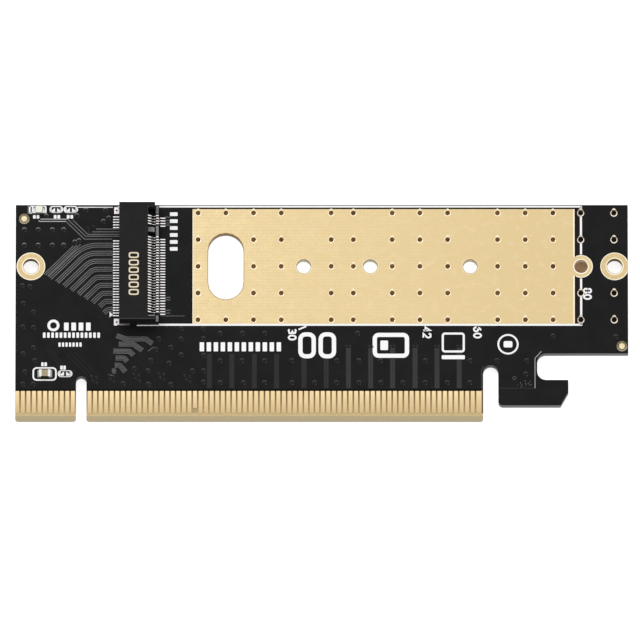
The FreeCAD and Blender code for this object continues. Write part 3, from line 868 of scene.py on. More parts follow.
class Finishes:
    """Every material of the card, made once and kept under its name."""

    def __init__(self) -> None:
        """Make the materials."""
        # Each wall colour in this table is painted shade on upright faces: via barrels, hole walls, finger
        # sides and part fronts.
        finishes = (
            BoardFinish(),
            # The traces' lighter tone: partly the copper under the mask, partly painted highlight.
            mask_tone("trace_copper_and_painted_highlight", 120, 98, 0.36, 0.3),
            mask_tone("mask_over_planes", 44, 38, 0.4),
            # Brighter painted highlight on the level starts of two lines.
            mask_tone("bright_trace_painted_highlight", 198, 168, 0.3, 0.3),
            mask_tone("mask_over_bands", 36, 31, 0.4),
            mask_tone("mask_over_bright_bands", 48, 42, 0.4),
            # Painted highlight on the raised edge of the copper under the mask.
            mask_tone("copper_edge_painted_highlight", 172, 146, 0.4, 0.3),
            mask_tone("mask_over_dim_edges", 62, 54, 0.4),
            mask_tone("mask_over_vias", 6, 11, 0.3),
            # Painted highlights on the shoulders of the covered vias, bright and dim.
            mask_tone("via_shoulder_painted_highlight", 150, 128, 0.3, 0.3),
            mask_tone("via_shoulder_dim_painted_highlight", 84, 68, 0.3),
            # The darkest mask: painted shade between the socket's tails, and the mask's lip above the edge
            # contacts.
            mask_tone("darkest_mask_and_painted_shade", 3, 6, 0.5, 0.05),
            MetalFinish("gold_heat_pad", tone(248, 225, 173), tone(238, 212, 158), lines=(0.12, 1.6, 1),
                        line_share=0.85, fade_x=(32, 92), fade=tone(221, 193, 141), weave_mm=0.57,
                        blush=tone(243, 212, 178)),
            MetalFinish("gold_edge_contacts", tone(250, 226, 178), tone(240, 213, 165),
                        wall=tone(176, 146, 96), lines=(1.2, 0.08, 1), lines_per_mm=5, fade_y=(1.3, 5.6),
                        fade=tone(200, 173, 127)),
            MetalFinish("gold_rings", tone(222, 199, 148), tone(206, 183, 134), tone(130, 116, 74),
                        cloud_per_mm=1.2, lines_per_mm=6, blush=tone(224, 196, 162)),
            # Painted highlights: bright lines along gold rings, hole rims and the pad's ends.
            MetalFinish("gold_painted_highlights", tone(255, 248, 228), tone(252, 238, 208), lines_per_mm=6),
            MetalFinish("slot_edge", tone(170, 142, 100), tone(146, 118, 80), lines_per_mm=6),
            # Painted highlights round the bay's smaller holes.
            MetalFinish("gold_hole_painted_highlights", tone(252, 238, 208), tone(246, 228, 194), lines_per_mm=6),
            MetalFinish("gold_alignment_dots", tone(240, 226, 190), tone(226, 208, 164), cloud_per_mm=2,
                        lines_per_mm=6, line_share=0.1),
            # Eyelets: the pale rims are painted highlight, the dark barrel walls painted shade.
            MetalFinish("via_eyelet", tone(254, 242, 214), tone(248, 232, 196), tone(84, 60, 30),
                        lines_per_mm=4),
            MetalFinish("via_ring_eyelet", tone(240, 232, 214), tone(222, 208, 184), tone(60, 44, 30),
                        lines_per_mm=4),
            MetalFinish("via_ring_dim_eyelet", tone(232, 222, 206), tone(206, 194, 178), tone(50, 36, 26),
                        lines_per_mm=4),
            # Socket contacts with a painted dark reflection on each strip's flanks.
            socket_pins("upper_socket_contacts", -9.25, (18.03, 18.13)),
            socket_pins("lower_socket_contacts", -9.0),
            MetalFinish("tinned_contacts", tone(240, 236, 228), tone(222, 216, 208), tone(112, 102, 86), 0.55,
                        (0.3, 0.42), 3, line_share=0.12),
            MetalFinish("tinned_hold_downs", tone(252, 248, 247), tone(234, 227, 226), None, 0.9, (0.3, 0.42),
                        3, line_share=0.12, fade_x=(18.8, 20.6), fade=grey(130)),
            MetalFinish("solder", grey(253), grey(238), None, 0.45, (0.26, 0.4), 3, lines_per_mm=5,
                        line_depth=0.01, line_share=0.12),
            HousingFinish(),
            # Painted highlights on the socket housing's lip lands and key rib.
            PlainFinish("plastic_painted_highlights", grey(146), grey(116), (0.4, 0.5), 0.4, 6),
            PlainFinish("white_ink", grey(255), grey(250), (0.5, 0.62), 0.4, 9, 0.003),
            # Painted highlight along the board's routed top edge.
            PlainFinish("top_edge_painted_highlight", grey(40), grey(56), (0.6, 0.7), 0.3, 4),
            PlainFinish("clear_ring", tone(142, 130, 98), tone(104, 92, 62), (0.35, 0.45), 0.4, 3),
            # Painted highlight on the lower side of each clear ring.
            PlainFinish("alignment_painted_highlight", tone(206, 198, 176), tone(178, 168, 142), (0.3, 0.4), 0.5, 3),
            # The wall colours of the LED and the capacitor are painted shade on their fronts.
            PlainFinish("led_carrier", tone(225, 222, 210), tone(208, 204, 190), wall=grey(80)),
            PlainFinish("led_resin", tone(246, 245, 234), tone(232, 231, 216), (0.2, 0.3), wall=grey(100)),
            PlainFinish("capacitor_ceramic", tone(176, 164, 130), tone(156, 144, 112), (0.4, 0.5),
                        wall=tone(66, 52, 30)),
            PlainFinish("resistor_glaze", grey(20), grey(28), (0.22, 0.32), 0.4, 4),
            # The plugs' brown is partly resin and partly painted shade of the via's wall.
            PlainFinish("via_plug", tone(128, 88, 34), tone(70, 42, 8), (0.5, 0.6), 0.3, 4),
            # Painted shade lining the open vias outside the pad.
            PlainFinish("via_well_painted_shade", tone(44, 30, 20), tone(24, 16, 10), (0.5, 0.6), 0.2, 4),
            PlainFinish("dust_flecks", grey(110), grey(84), (0.5, 0.6), 0.3, 8),
        )
        self.made = {finish.name: finish.material() for finish in finishes}

    def __getitem__(self, name: str) -> bpy.types.Material:
        """Return a material by its name."""
        return self.made[name]

    def dress_nodes(self) -> None:
        """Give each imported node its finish."""
        chosen = {
            "circuit_board": "black_mask_on_laminate",
            "front_edge_contacts": "gold_edge_contacts",
            "rear_edge_contacts": "gold_edge_contacts",
            "heat_pad": "gold_heat_pad",
            "left_mount_plating": "gold_rings",
            "right_mount_plating": "gold_rings",
            "socket_housing": "black_moulded_plastic",
            "socket_upper_contacts": "upper_socket_contacts",
            "socket_lower_contacts": "lower_socket_contacts",
            "socket_top_hold_down": "tinned_hold_downs",
            "socket_bottom_hold_down": "tinned_hold_downs",
            "component_solder": "solder",
            "led_base": "led_carrier",
            "led_lens": "led_resin",
            "capacitor_body": "capacitor_ceramic",
        }
        for name, node in frame["nodes"].items():
            other = "resistor_glaze" if name.endswith("_body") else "tinned_contacts"
            material = self[chosen.get(name, other)]
            node.data.materials.clear()
            node.data.materials.append(material)
            log.info("%s: %s", name, material.name)


@dataclass(frozen=True)
class CopperTraces:
    """Copper lines that stand out slightly under the mask, lighter partly from the copper and partly by
    painted highlight.
    """

    width: float = 0.17
    height: float = 0.03
    tail_x: float = 17.75
    fan_pitch: float = 1.5
    fan_count: int = 9
    fan_top_y: float = 32.74
    line_spacing: float = 0.36
    upper_paths: tuple[Path, ...] = (
        ((9.35, 37.62), (12.6, 34.42), (18.9, 34.42)),
        ((9.05, 37.2), (12.4, 33.88), (17.4, 33.88)),
        ((10.3, 37.45), (13.0, 34.77), (18.9, 34.77)),
        ((13.8, 35.24), (18.9, 35.24)),
        ((14.5, 35.76), (18.9, 35.76)),
    )
    level_paths: tuple[Path, ...] = (
        ((4.45, 37.62), (9.4, 37.62)),
        ((4.1, 37.36), (4.35, 37.2), (9.1, 37.2)),
    )
    tuned_spacing: float = 0.25
    tuned_width: float = 0.13
    tuned_lines_each: int = 4
    tuned_paths: tuple[Path, ...] = (
        ((18.2, 15.85), (19.9, 15.18), (23.5, 15.18), (24.7, 14.3)),
        ((18.6, 14.24), (21.2, 14.24), (22.9, 13.05)),
        ((17.65, 12.97), (18.3, 12.89), (20.55, 12.89), (21.3, 12.13)),
        ((18.05, 11.63), (19.6, 11.63), (20.15, 10.97)),
        ((17.9, 10.3), (18.8, 10.3), (19.85, 9.04)),
        ((17.4, 9.2), (18.15, 9.2)),
    )
    tuned_ends: tuple[Path, ...] = (
        ((16.92, 8.53), (17.66, 8.29)),
        ((23.9, 12.9), (24.9, 13.7)),
    )
    corner_groups: tuple[tuple[Path, float, float], ...] = (
        (((5.7, 13.2), (8.0, 9.9)), 0.5, 0.08),
        (((9.0, 12.6), (13.2, 8.2)), 0.9, 0.07),
    )
    stub_x: Point = (26.9, 27.9)
    stub_y: tuple[float, ...] = (38.0, 37.4, 36.9, 36.5, 22.97, 22.5, 20.55, 20.03)
    long_stub: Path = ((26.0, 19.49), (30.5, 19.49))
    band_width: float = 0.9
    band_bottom_y: float = 6.0
    band_line_offset: float = 0.2
    left_band_x: tuple[float, ...] = (34.95, 39.0, 43.05, 47.05, 52.0, 56.0)
    right_band_x: tuple[float, ...] = (60.0, 64.0, 67.95, 72.0, 75.95, 79.95)
    left_band_top: float = 12.4
    right_band_top: float = 13.5

    def run(self, shape: Shape, path: Sequence[Point], width: float | None = None) -> None:
        """Lay one line along a path."""
        shape.ribbon(path, width or self.width, SEAT, FACE + self.height)

    def fan(self, shape: Shape) -> None:
        """Lay the groups of three lines that leave the socket's rear and turn down to the left.

        Args:
            shape: Where the faces go.
        """
        for group in range(self.fan_count):
            y = self.fan_top_y - self.fan_pitch * group
            bend_x = 12.35 + 0.54 * group
            end_x = min(6.2 + 1.28 * group, bend_x - 0.7)
            centre = [(self.tail_x, y), (bend_x, y), (end_x, y - (bend_x - end_x))]
            radius = max(5.8 * 0.7**group, 1.2)
            for line in (-1, 0, 1):
                self.run(shape, beside(turned_round(centre, radius), line * self.line_spacing))
        for line in range(3):
            x0, x1, rise = 10.4 + 0.65 * line, 5.1 + 0.35 * line, 22.2 - 0.5 * line
            self.run(shape, [(x0, x0 + rise), (x1, x1 + rise)])

    def socket_lines(self, shape: Shape) -> None:
        """Lay the fan, the lines between the two groups of rear tails, and the front pads' stubs.

        Args:
            shape: Where the faces go.
        """
        self.fan(shape)
        for path in self.upper_paths:
            self.run(shape, path)
        for y in self.stub_y:
            self.run(shape, [(x, y) for x in self.stub_x])
        self.run(shape, self.long_stub, 0.1)

    def level_lines(self, shape: Shape) -> None:
        """Lay the level starts of the two upper lines, which get a brighter painted highlight."""
        for path in self.level_paths:
            self.run(shape, path)

    def tuned_lines(self, shape: Shape) -> None:
        """Lay the length-matching groups of waves below the socket.

        Args:
            shape: Where the faces go.
        """
        for path in self.tuned_paths:
            for line in range(self.tuned_lines_each):
                offset = (line - (self.tuned_lines_each - 1) / 2) * self.tuned_spacing
                self.run(shape, beside(turned_round(path, 0.4, 4), offset), self.tuned_width)
        for path in self.tuned_ends:
            self.run(shape, path, self.tuned_width)

    def corner_lines(self, shape: Shape) -> None:
        """Lay the faint lines between the lower left corner and the key notch.

        Args:
            shape: Where the faces go.
        """
        for line in range(3):
            for (top, bottom), step, width in self.corner_groups:
                shift = step * line
                self.run(shape, [(top[0] + shift, top[1]), (bottom[0] + shift, bottom[1])], width)

    def bands(self, name: str, xs: Sequence[float], top: float, wide_finish: bpy.types.Material,
              fine_finish: bpy.types.Material) -> None:
        """Lay one group of the wide line pairs that climb from the edge contacts.

        Args:
            name: Name of the group's pieces.
            xs: X of each pair.
            top: Where they end.
            wide_finish: Finish of the wide bands.
            fine_finish: Finish of the fine lines on them.
        """
        wide, fine = Shape(), Shape()
        half, bottom = self.band_width / 2, self.band_bottom_y
        for x in xs:
            wide.bar(x - half, x + half, bottom, top, SEAT, FACE + 0.012)
            for line_x in (x - self.band_line_offset, x + self.band_line_offset):
                fine.ribbon([(line_x, bottom), (line_x, top)], 0.1, SEAT, FACE + 0.02)
        wide.piece(name, wide_finish, Slot.MASK)
        fine.piece(name + "_pairs", fine_finish, Slot.MASK)

    def build(self, finishes: Finishes) -> None:
        """Make every traced line.

        Args:
            finishes: The card's materials.
        """
        # Lighter traces: partly the copper under the mask, partly painted highlight.
        for name, finish, lay in (("traces_to_socket", "trace_copper_and_painted_highlight", self.socket_lines),
                                  ("traces_level", "bright_trace_painted_highlight", self.level_lines),
                                  ("traces_tuned", "trace_copper_and_painted_highlight", self.tuned_lines),
                                  ("traces_corner", "mask_over_planes", self.corner_lines)):
            shape = Shape()
            lay(shape)
            shape.piece(name, finishes[finish], Slot.MASK)
        self.bands("left_bands", self.left_band_x, self.left_band_top, finishes["mask_over_bands"],
                   finishes["mask_over_planes"])
        self.bands("right_bands", self.right_band_x, self.right_band_top, finishes["mask_over_bright_bands"],
                   finishes["mask_over_dim_edges"])


@dataclass(frozen=True)
class TentedVias:
    """Vias that the mask covers, each a low ring with a dimple and with painted highlights on its shoulders.
    """

    radius: float = 0.46
    small_radius: float = 0.26
    crest: float = 0.04
    # The upper shoulders' painted highlights are brightest left of this X and above the bay's middle.
    bright_x: float = 24.0
    ringed: Point = (89.9, 7.88)
    ringed_radius: float = 0.3
    rows: tuple[tuple[float, tuple[float, ...]], ...] = (
        (35.6, (1.55, 4.05, 6.6, 8.65)),
        (32.7, (1.55, 4.05, 6.6, 8.65)),
        (16.2, (36.9, 40.9, 44.9, 61.7)),
        (11.1, (36.9, 40.8, 44.9, 49.8, 57.9, 61.9, 65.8, 73.9, 81.9, 86.8, 92.1)),
        (7.0, (36.9, 41.1, 44.9, 49.8, 53.9, 57.85, 61.9, 65.8, 69.8, 73.8, 77.8, 81.9)),
    )
    scattered: Path = (
        (1.2, 25.1), (2.6, 24.95), (1.4, 21.8), (3.2, 20.2), (1.35, 17.4), (3.25, 17.3), (3.25, 13.5),
        (1.4, 12.4), (3.5, 11.1), (1.7, 9.0), (1.35, 6.7), (3.25, 6.7), (12.65, 39.3), (16.2, 39.3),
        (16.75, 37.8), (15.8, 37.15), (10.65, 33.3), (11.4, 33.55), (5.5, 38.15), (11.05, 38.25),
        (25.8, 15.2), (29.85, 15.15), (33.85, 15.2), (25.3, 13.2), (28.0, 13.6), (29.85, 12.2),
        (33.9, 12.1), (24.4, 11.15), (27.7, 10.65), (21.45, 9.6), (23.9, 9.2), (31.9, 9.2), (33.9, 9.2),
        (19.45, 6.8), (24.0, 6.7), (28.0, 6.65), (33.85, 7.1), (29.85, 17.1), (33.8, 17.1), (91.95, 8.6),
        (96.85, 15.7), (108.2, 15.6),
    )
    clusters: Path = ((14.2, 7.4), (17.3, 7.7), (21.85, 7.8), (26.3, 8.0), (31.0, 7.6))
    in_cluster: Path = ((-0.5, 0.7), (0.4, 0.5), (-0.2, -0.1), (0.5, -0.5))
    pair_x: tuple[float, ...] = CopperTraces.right_band_x
    pair_y: float = 13.75
    pair_half: float = 0.3
    near_socket: Path = ((13.0, 35.9), (14.0, 36.2), (13.2, 35.2))

    def places(self) -> Iterable[Point]:
        """Return the middle of each covered via."""
        return tuple((x, y) for y, xs in self.rows for x in xs) + self.scattered

    def small_places(self) -> Iterable[Point]:
        """Return the middle of each small via near the edge contacts and the socket.

        Returns:
            The places.
        """
        clustered = tuple((x + dx, y + dy) for x, y in self.clusters for dx, dy in self.in_cluster)
        pairs = tuple((x + side * self.pair_half, self.pair_y) for x in self.pair_x for side in (-1, 1))
        return clustered + pairs + self.near_socket

    def build(self, finishes: Finishes) -> None:
        """Make the covered vias.

        Args:
            finishes: The card's materials.
        """
        domes, rims, dim_rims = Shape(), Shape(), Shape()
        top = FACE + self.crest
        for places, radius in ((self.places(), self.radius), (self.small_places(), self.small_radius)):
            for x, y in places:
                domes.turn(x, y, [(radius, SEAT), (radius * 0.85, top), (radius * 0.55, top),
                                  (radius * 0.2, FACE + self.crest * 0.3)], 16)
                # Painted highlights: a raised crescent on the upper side, bright for larger vias at upper
                # left, and a dim one below.
                bright = radius == self.radius and x < self.bright_x and y > BAY_Y
                self.shoulder(rims if bright else dim_rims, x, y, radius, 12, 172, 0.42)
                self.shoulder(dim_rims, x, y, radius, 275, 345, 0.22)
        x, y = self.ringed
        domes.turn(x, y, [(self.ringed_radius, SEAT), (0.22, top), (0.08, FACE + 0.01)], 16)
        # A ring of dim painted highlight round the ringed via.
        dim_rims.ribbon(circle(x, y, self.ringed_radius, 20), 0.13, SEAT, top + 0.01, True)
        domes.piece("tented_vias", finishes["mask_over_vias"], Slot.MASK)
        rims.piece("tented_via_painted_highlights", finishes["via_shoulder_painted_highlight"], Slot.MASK)
        dim_rims.piece("tented_via_dim_painted_highlights", finishes["via_shoulder_dim_painted_highlight"], Slot.MASK)

    def shoulder(self, shape: Shape, x: float, y: float, radius: float, start: float, end: float,
                 share: float) -> None:
        """Lay a painted highlight as a shoulder that stands out on one side of a covered via, thin at both
        ends.

        Args:
            shape: Where its faces go.
            x: Middle of the via.
            y: Middle of the via.
            radius: The via's radius.
            start: Angle where it starts, in degrees.
            end: Angle where it ends.
            share: Width at its middle, as a share of the radius.
        """
        steps = 8
        middle, top = radius * 0.86, self.crest + 0.012
        sections = []
        for step in range(steps + 1):
            turn = math.radians(start + (end - start) * step / steps)
            half = radius * share * (0.12 + 0.88 * math.sin(math.pi * step / steps)) / 2
            section = []
            for out, up in ((-half, 0.0), (-half * 0.6, top), (half * 0.6, top), (half, 0.0)):
                reach = middle + out
                section.append((x + reach * math.cos(turn), y + reach * math.sin(turn), FACE + up))
            sections.append(section)
        shape.loft(sections)


@dataclass(frozen=True)
class OpenVias:
    """Plated vias in and beside the heat pad, each with a round eyelet and a resin plug or a dark well of
    painted shade.
    """

    bore: float = 0.46
    ring_bore: float = 0.49
    rim: float = 0.62
    ring_rim: float = 0.67
    lift: float = 0.075
    sag: float = 0.06
    peak: float = 0.7
    wall: float = 0.04
    plug_depth: float = 0.12
    well_depth: float = 0.6
    barrel_depth: float = 1.2
    first_x: float = 1.0
    pitch_y: float = 5.0
    columns: tuple[float, ...] = (0, 5, 10, 15, 24, 28, 35, 40, 45, 54, 59, 64)
    slot_column: int = 5
    frame_column: float = 69
    edge_column: float = 75

    def places(self, columns: Sequence[float]) -> Iterable[Point]:
        """Yield the middle of every open via of some columns.

        Args:
            columns: Their distances from the first column.

        Returns:
            The places; a column outside the pad has none in its middle row.
        """
        pad = Block.of("heat_pad")
        rows = [pad.centre.y + self.pitch_y * row for row in range(-2, 3)]
        for offset in columns:
            chosen = rows
            if offset == self.slot_column:
                chosen = [rows[0], rows[-1]]
            if offset in (self.frame_column, self.edge_column):
                chosen = rows[:2] + rows[3:]
            yield from ((pad.low.x + self.first_x + offset, y) for y in chosen)

    def drop(self, x: float, y: float, radius: float) -> list[Point]:
        """Return a round outline that comes to a soft point at its upper side, the shape of the painted shade
        inside a via.

        Args:
            x: Its middle.
            y: Its middle.
            radius: Radius of its round part.

        Returns:
            The outline.
        """
        outline = []
        for px, py in circle(0, 0, 1.0, 28):
            reach = radius * (1 + self.peak * max(py, 0.0) ** 6)
            outline.append((x + px * reach, y + py * reach))
        return outline

    def eyelet(self, shape: Shape, x: float, y: float, bore: float, rim: float) -> None:
        """Raise one eyelet, wider at its lower side, where its pale rim is a painted highlight; its barrel's
        dark wall is painted shade.

        Args:
            shape: Where its faces go.
            x: Its middle.
            y: Its middle.
            bore: Radius of its hole.
            rim: Radius of its flange.
        """
        top, inner = FACE + self.lift, bore - self.wall / 2
        low_y = y - self.sag
        rounds = [(circle(x, low_y, rim), SEAT), (circle(x, low_y, rim - self.wall), top - 0.01),
                  (self.drop(x, y, bore + self.wall), top), (self.drop(x, y, bore), top - 0.02),
                  (self.drop(x, y, inner), FACE - 0.03), (circle(x, y, inner), FACE - 0.1),
                  (circle(x, y, inner), FACE - self.barrel_depth)]
        shape.loft([[(*point, z) for point in outline] for outline, z in rounds], Ends.LAST_CAPPED)

    def plug(self, shape: Shape, x: float, y: float) -> None:
        """Lay the resin in one via of the pad, a little lower near its wall; its brown drop is partly resin
        and partly painted shade.

        Args:
            shape: Where the faces go.
            x: Middle of the via.
            y: Middle of the via.
        """
        level = FACE - self.plug_depth
        rounds = [(self.bore, FACE - 0.02), (self.bore * 0.8, level), (self.bore * 0.35, level + 0.03)]
        shape.loft([[(*point, z) for point in self.drop(x, y, r)] for r, z in rounds], Ends.LAST_CAPPED)

    def well(self, shape: Shape, x: float, y: float) -> None:
        """Line one via outside the pad with a dark liner down to its floor, painted shade inside the via.

        Args:
            shape: Where the faces go.
            x: Middle of the via.
            y: Middle of the via.
        """
        deep = FACE - self.well_depth
        shape.turn(x, y, [(self.ring_bore, deep - 0.2), (self.ring_bore, FACE - 0.06),
                          (self.ring_bore * 0.6, deep)], 20)

    def build(self, finishes: Finishes) -> None:
        """Make the eyelets, and the resin plug or the dark well of painted shade in each.

        Args:
            finishes: The card's materials.
        """
        pad_eyelets, plugs, wells = Shape(), Shape(), Shape()
        for place in self.places(self.columns):
            self.eyelet(pad_eyelets, *place, self.bore, self.rim)
            self.plug(plugs, *place)
        pad_eyelets.piece("via_eyelets", finishes["via_eyelet"], Slot.GOLD)
        plugs.piece("via_plugs", finishes["via_plug"], Slot.MASK)
        for column, name, finish in ((self.frame_column, "frame_via_rings", "via_ring_dim_eyelet"),
                                     (self.edge_column, "edge_via_rings", "via_ring_eyelet")):
            rings = Shape()
            for place in self.places([column]):
                self.eyelet(rings, *place, self.ring_bore, self.ring_rim)
                self.well(wells, *place)
            rings.piece(name, finishes[finish], Slot.GOLD, ["via_rings"])
        wells.piece("via_wells_painted_shade", finishes["via_well_painted_shade"], Slot.MASK)


@dataclass(frozen=True)
class HoleRims:
    """Painted highlights round the bay's holes, the mounting rings and the pad's ends; duller hole and slot
    edges.
    """

    width: float = 0.2
    edge_width: float = 0.17
    hole_width: float = 0.12
    inner_width: float = 0.1
    mount_inner_width: float = 0.11
    foot: float = 0.045
    lift: float = 0.065
    mount_radius: float = 2.575
    mount_hole: float = 1.45
    lobe_radius: float = 2.04
    lobe_opening: float = 1.75
    pad_end_x: float = 100.8
    slot_x: float = 37.9
    slot_half: Point = (3.25, 6.25)

    def bay(self, bright: Shape, holes: Shape, inner: Shape) -> None:
        """Line the bay's round holes, its slot and both ends of the pad.

        Args:
            bright: Where the painted highlights go.
            holes: Where the round holes' painted highlights go.
            inner: Where the duller inner edges go.
        """
        low, high = FACE + self.foot, FACE + self.lift
        *small, (last_x, last_radius) = bay_holes()
        for x, radius in small:
            holes.ribbon(circle(x, BAY_Y, radius + 0.1, 36), self.hole_width, low, high, True)
            inner.ribbon(circle(x, BAY_Y, radius, 36), self.inner_width, low - 0.03, high - 0.01, True)
        last_hole = circle(last_x, BAY_Y, last_radius + self.width / 2 + 0.02, 36)
        bright.ribbon(last_hole, self.width, low, high, True)
        across, along = self.slot_half
        sides = (self.slot_x - across, self.slot_x + across, BAY_Y - along, BAY_Y + along)
        inner.ribbon(rounded_box(*sides, across - 0.01), self.hole_width, low, high, True)
        bright.ribbon(arc(last_x, BAY_Y, self.lobe_radius, -115, 5, 47), self.edge_width, low, high)
        pad = Block.of("heat_pad")
        bright.bar(pad.low.x + 0.01, pad.low.x + 0.13, pad.low.y, pad.high.y, low, high)
        for y0, y1 in ((pad.low.y, BAY_Y - self.lobe_opening), (BAY_Y + self.lobe_opening, pad.high.y)):
            bright.bar(self.pad_end_x - 0.24, self.pad_end_x - 0.01, y0, y1, low, high)

    def mount(self, node: str, outward: int, bright: Shape, inner: Shape) -> None:
        """Line one mounting hole and its ring, which the board's end may cut.

        Args:
            node: The node of its plating.
            outward: 1 for the left hole, -1 for the right one.
            bright: Where the painted highlights go.
            inner: Where the duller inner edge goes.
        """
        low, high = FACE + self.foot, FACE + self.lift
        box = Block.of(node)
        x = (box.high.x if outward > 0 else box.low.x) - outward * self.mount_radius
        bright.ribbon(circle(x, BAY_Y, self.mount_hole + 0.1, 40), self.width, low, high, True)
        wall = circle(x, BAY_Y, self.mount_hole - 0.02, 40)
        inner.ribbon(wall, self.mount_inner_width, FACE - 0.05, low, True)
        edge = circle(x, BAY_Y, self.mount_radius - 0.07, 72)
        kept = [point for point in edge if point[0] < BOARD.high.x - 0.1]
        bright.ribbon(kept, self.edge_width, low, high, len(kept) == len(edge))

    def build(self, finishes: Finishes) -> None:
        """Make the painted highlights and the duller inner edges.

        Args:
            finishes: The card's materials.
        """
        bright, holes, inner = Shape(), Shape(), Shape()
        self.bay(bright, holes, inner)
        self.mount("left_mount_plating", 1, bright, inner)
        self.mount("right_mount_plating", -1, bright, inner)
        bright.piece("gold_painted_highlight_rims", finishes["gold_painted_highlights"], Slot.GOLD)
        holes.piece("round_hole_painted_highlights", finishes["gold_hole_painted_highlights"], Slot.GOLD)
        inner.piece("slot_edge", finishes["slot_edge"], Slot.GOLD)


@dataclass(frozen=True)
class AlignmentMarks:
    """Two round gold marks, each in a clear ring with a painted highlight on its lower side."""

    radius: float = 0.55
    clear: float = 0.98
    edge_radius: float = 0.88
    edge_width: float = 0.13

    def build(self, finishes: Finishes) -> None:
        """Make the marks, the rings and the painted highlights on the rings.

        Args:
            finishes: The card's materials.
        """
        box = Block.of("fiducial_marks")
        inset = self.radius * math.cos(math.radians(22.5))
        places = [(box.low.x + inset, box.high.y - inset), (box.high.x - inset, box.low.y + inset)]
        marks, rings, edges = Shape(), Shape(), Shape()
        for x, y in places:
            marks.turn(x, y, [(self.radius, FACE), (self.radius - 0.03, FACE + 0.045),
                              (self.radius * 0.4, FACE + 0.05)], 32)
            middle = (self.radius + self.clear) / 2
            rings.ribbon(circle(x, y, middle, 40), self.clear - self.radius, SEAT, FACE + 0.012, True)
            # Painted highlight: a lighter arc on the ring's lower side.
            edge = arc(x, y, self.edge_radius, 200, 7, 22)
            kept = [point for point in edge if point[0] < BOARD.high.x - 0.1]
            edges.ribbon(kept, self.edge_width, FACE + 0.01, FACE + 0.024)
        marks.piece("alignment_dots", finishes["gold_alignment_dots"], Slot.GOLD, ["fiducial_marks"])
        edges.piece("alignment_ring_painted_highlights", finishes["alignment_painted_highlight"], Slot.MASK)
        rings.piece("alignment_clear_rings", finishes["clear_ring"], Slot.MASK)


@dataclass(frozen=True)
class BoardRims:
    """A painted highlight along the routed top edge, and the edges of the copper under the mask, one with a
    painted highlight.
    """

    rim_width: float = 0.15
    rim_x: Point = (0.2, 98.0)
    edge_width: float = 0.17
    edge_height: float = 0.015
    gullet: Path = ((94.75, 12.86), (93.6, 11.6), (93.6, 5.97))
    gullet_radius: float = 0.5
    relief: Path = ((83.94, 5.9), (83.94, 9.2), (84.4, 10.2))
    relief_radius: float = 0.8
    hook_line: Path = ((87.2, 5.98), (93.4, 5.98))
    lip_y: Point = (5.47, 5.76)
    lip_runs: tuple[Point, ...] = ((0.0, 10.9), (12.86, 83.95))

    def build(self, finishes: Finishes) -> None:
        """Make the rim, the copper edges and the mask's lip, which leaves the key notch open.

        Args:
            finishes: The card's materials.
        """
        rim, edges, faint, lip = Shape(), Shape(), Shape(), Shape()
        top = BOARD.high.y
        # Painted highlight: a lighter grey rim along the top edge.
        rim.bar(*self.rim_x, top - self.rim_width, top, SEAT, FACE + 0.012, 0.02)
        rim.piece("top_edge_rim", finishes["top_edge_painted_highlight"], Slot.MASK)
        gullet = turned_round(self.gullet, self.gullet_radius)
        # The gullet's copper edge: a raised line under the mask with a painted highlight.
        edges.ribbon(gullet, self.edge_width, SEAT, FACE + self.edge_height)
        relief = turned_round(self.relief, self.relief_radius)
        faint.ribbon(relief, self.edge_width, SEAT, FACE + self.edge_height)
        faint.ribbon(self.hook_line, 0.08, SEAT, FACE + 0.01)
        edges.piece("copper_edges", finishes["copper_edge_painted_highlight"], Slot.MASK)
        faint.piece("copper_edges_faint", finishes["mask_over_dim_edges"], Slot.MASK)
        # The mask's lip above the edge contacts takes the darkest mask.
        for x0, x1 in self.lip_runs:
            lip.bar(x0, x1, *self.lip_y, SHALLOW, FACE + 0.012, 0.01)
        lip.piece("mask_over_contact_tops", finishes["darkest_mask_and_painted_shade"], Slot.MASK)


@dataclass(frozen=True)
class DustFlecks:
    """Small pale flecks on the mask beside the hook."""

    seed: int = 7
    count: int = 16
    low: Point = (90.4, 6.2)
    high: Point = (93.0, 7.5)
    size: Point = (0.05, 0.13)
    uneven: Point = (0.6, 1.2)

    def build(self, finishes: Finishes) -> None:
        """Scatter the flecks.

        Args:
            finishes: The card's materials.
        """
        draw = random.Random(self.seed)
        shape = Shape()
        for _ in range(self.count):
            x, y = (draw.uniform(low, high) for low, high in zip(self.low, self.high))
            size = draw.uniform(*self.size)
            corners = []
            for turn in range(0, 360, 60):
                across = size * draw.uniform(*self.uneven) * math.cos(math.radians(turn))
                along = size * draw.uniform(*self.uneven) * math.sin(math.radians(turn))
                corners.append((x + across, y + along))
            shape.slab(corners, SHALLOW, FACE + 0.008)
        shape.piece("dust_flecks", finishes["dust_flecks"], Slot.MASK)


@dataclass(frozen=True)
class Field:
    """A printed box with round corners, drawn as an outline or filled where that has no width."""

    x0: float
    x1: float
    y0: float
    y1: float
    radius: float
    width: float = 0.0

    @property
    def outline(self) -> list[Point]:
        """Its corner points."""
        return rounded_box(self.x0, self.x1, self.y0, self.y1, self.radius)


@dataclass(frozen=True)
class Row:
    """A row of equal printed blocks, laid from left to right."""

    x: float
    count: int
    pitch: float
    y: float
    tall: float
    share: float = 0.64

    def blocks(self) -> Iterable[Field]:
        """Yield its blocks.

        Returns:
            The blocks, from left to right.
        """
        half = self.tall / 2
        for index in range(self.count):
            x = self.x + index * self.pitch
            yield Field(x, x + self.pitch * self.share, self.y - half, self.y + half, 0.1)


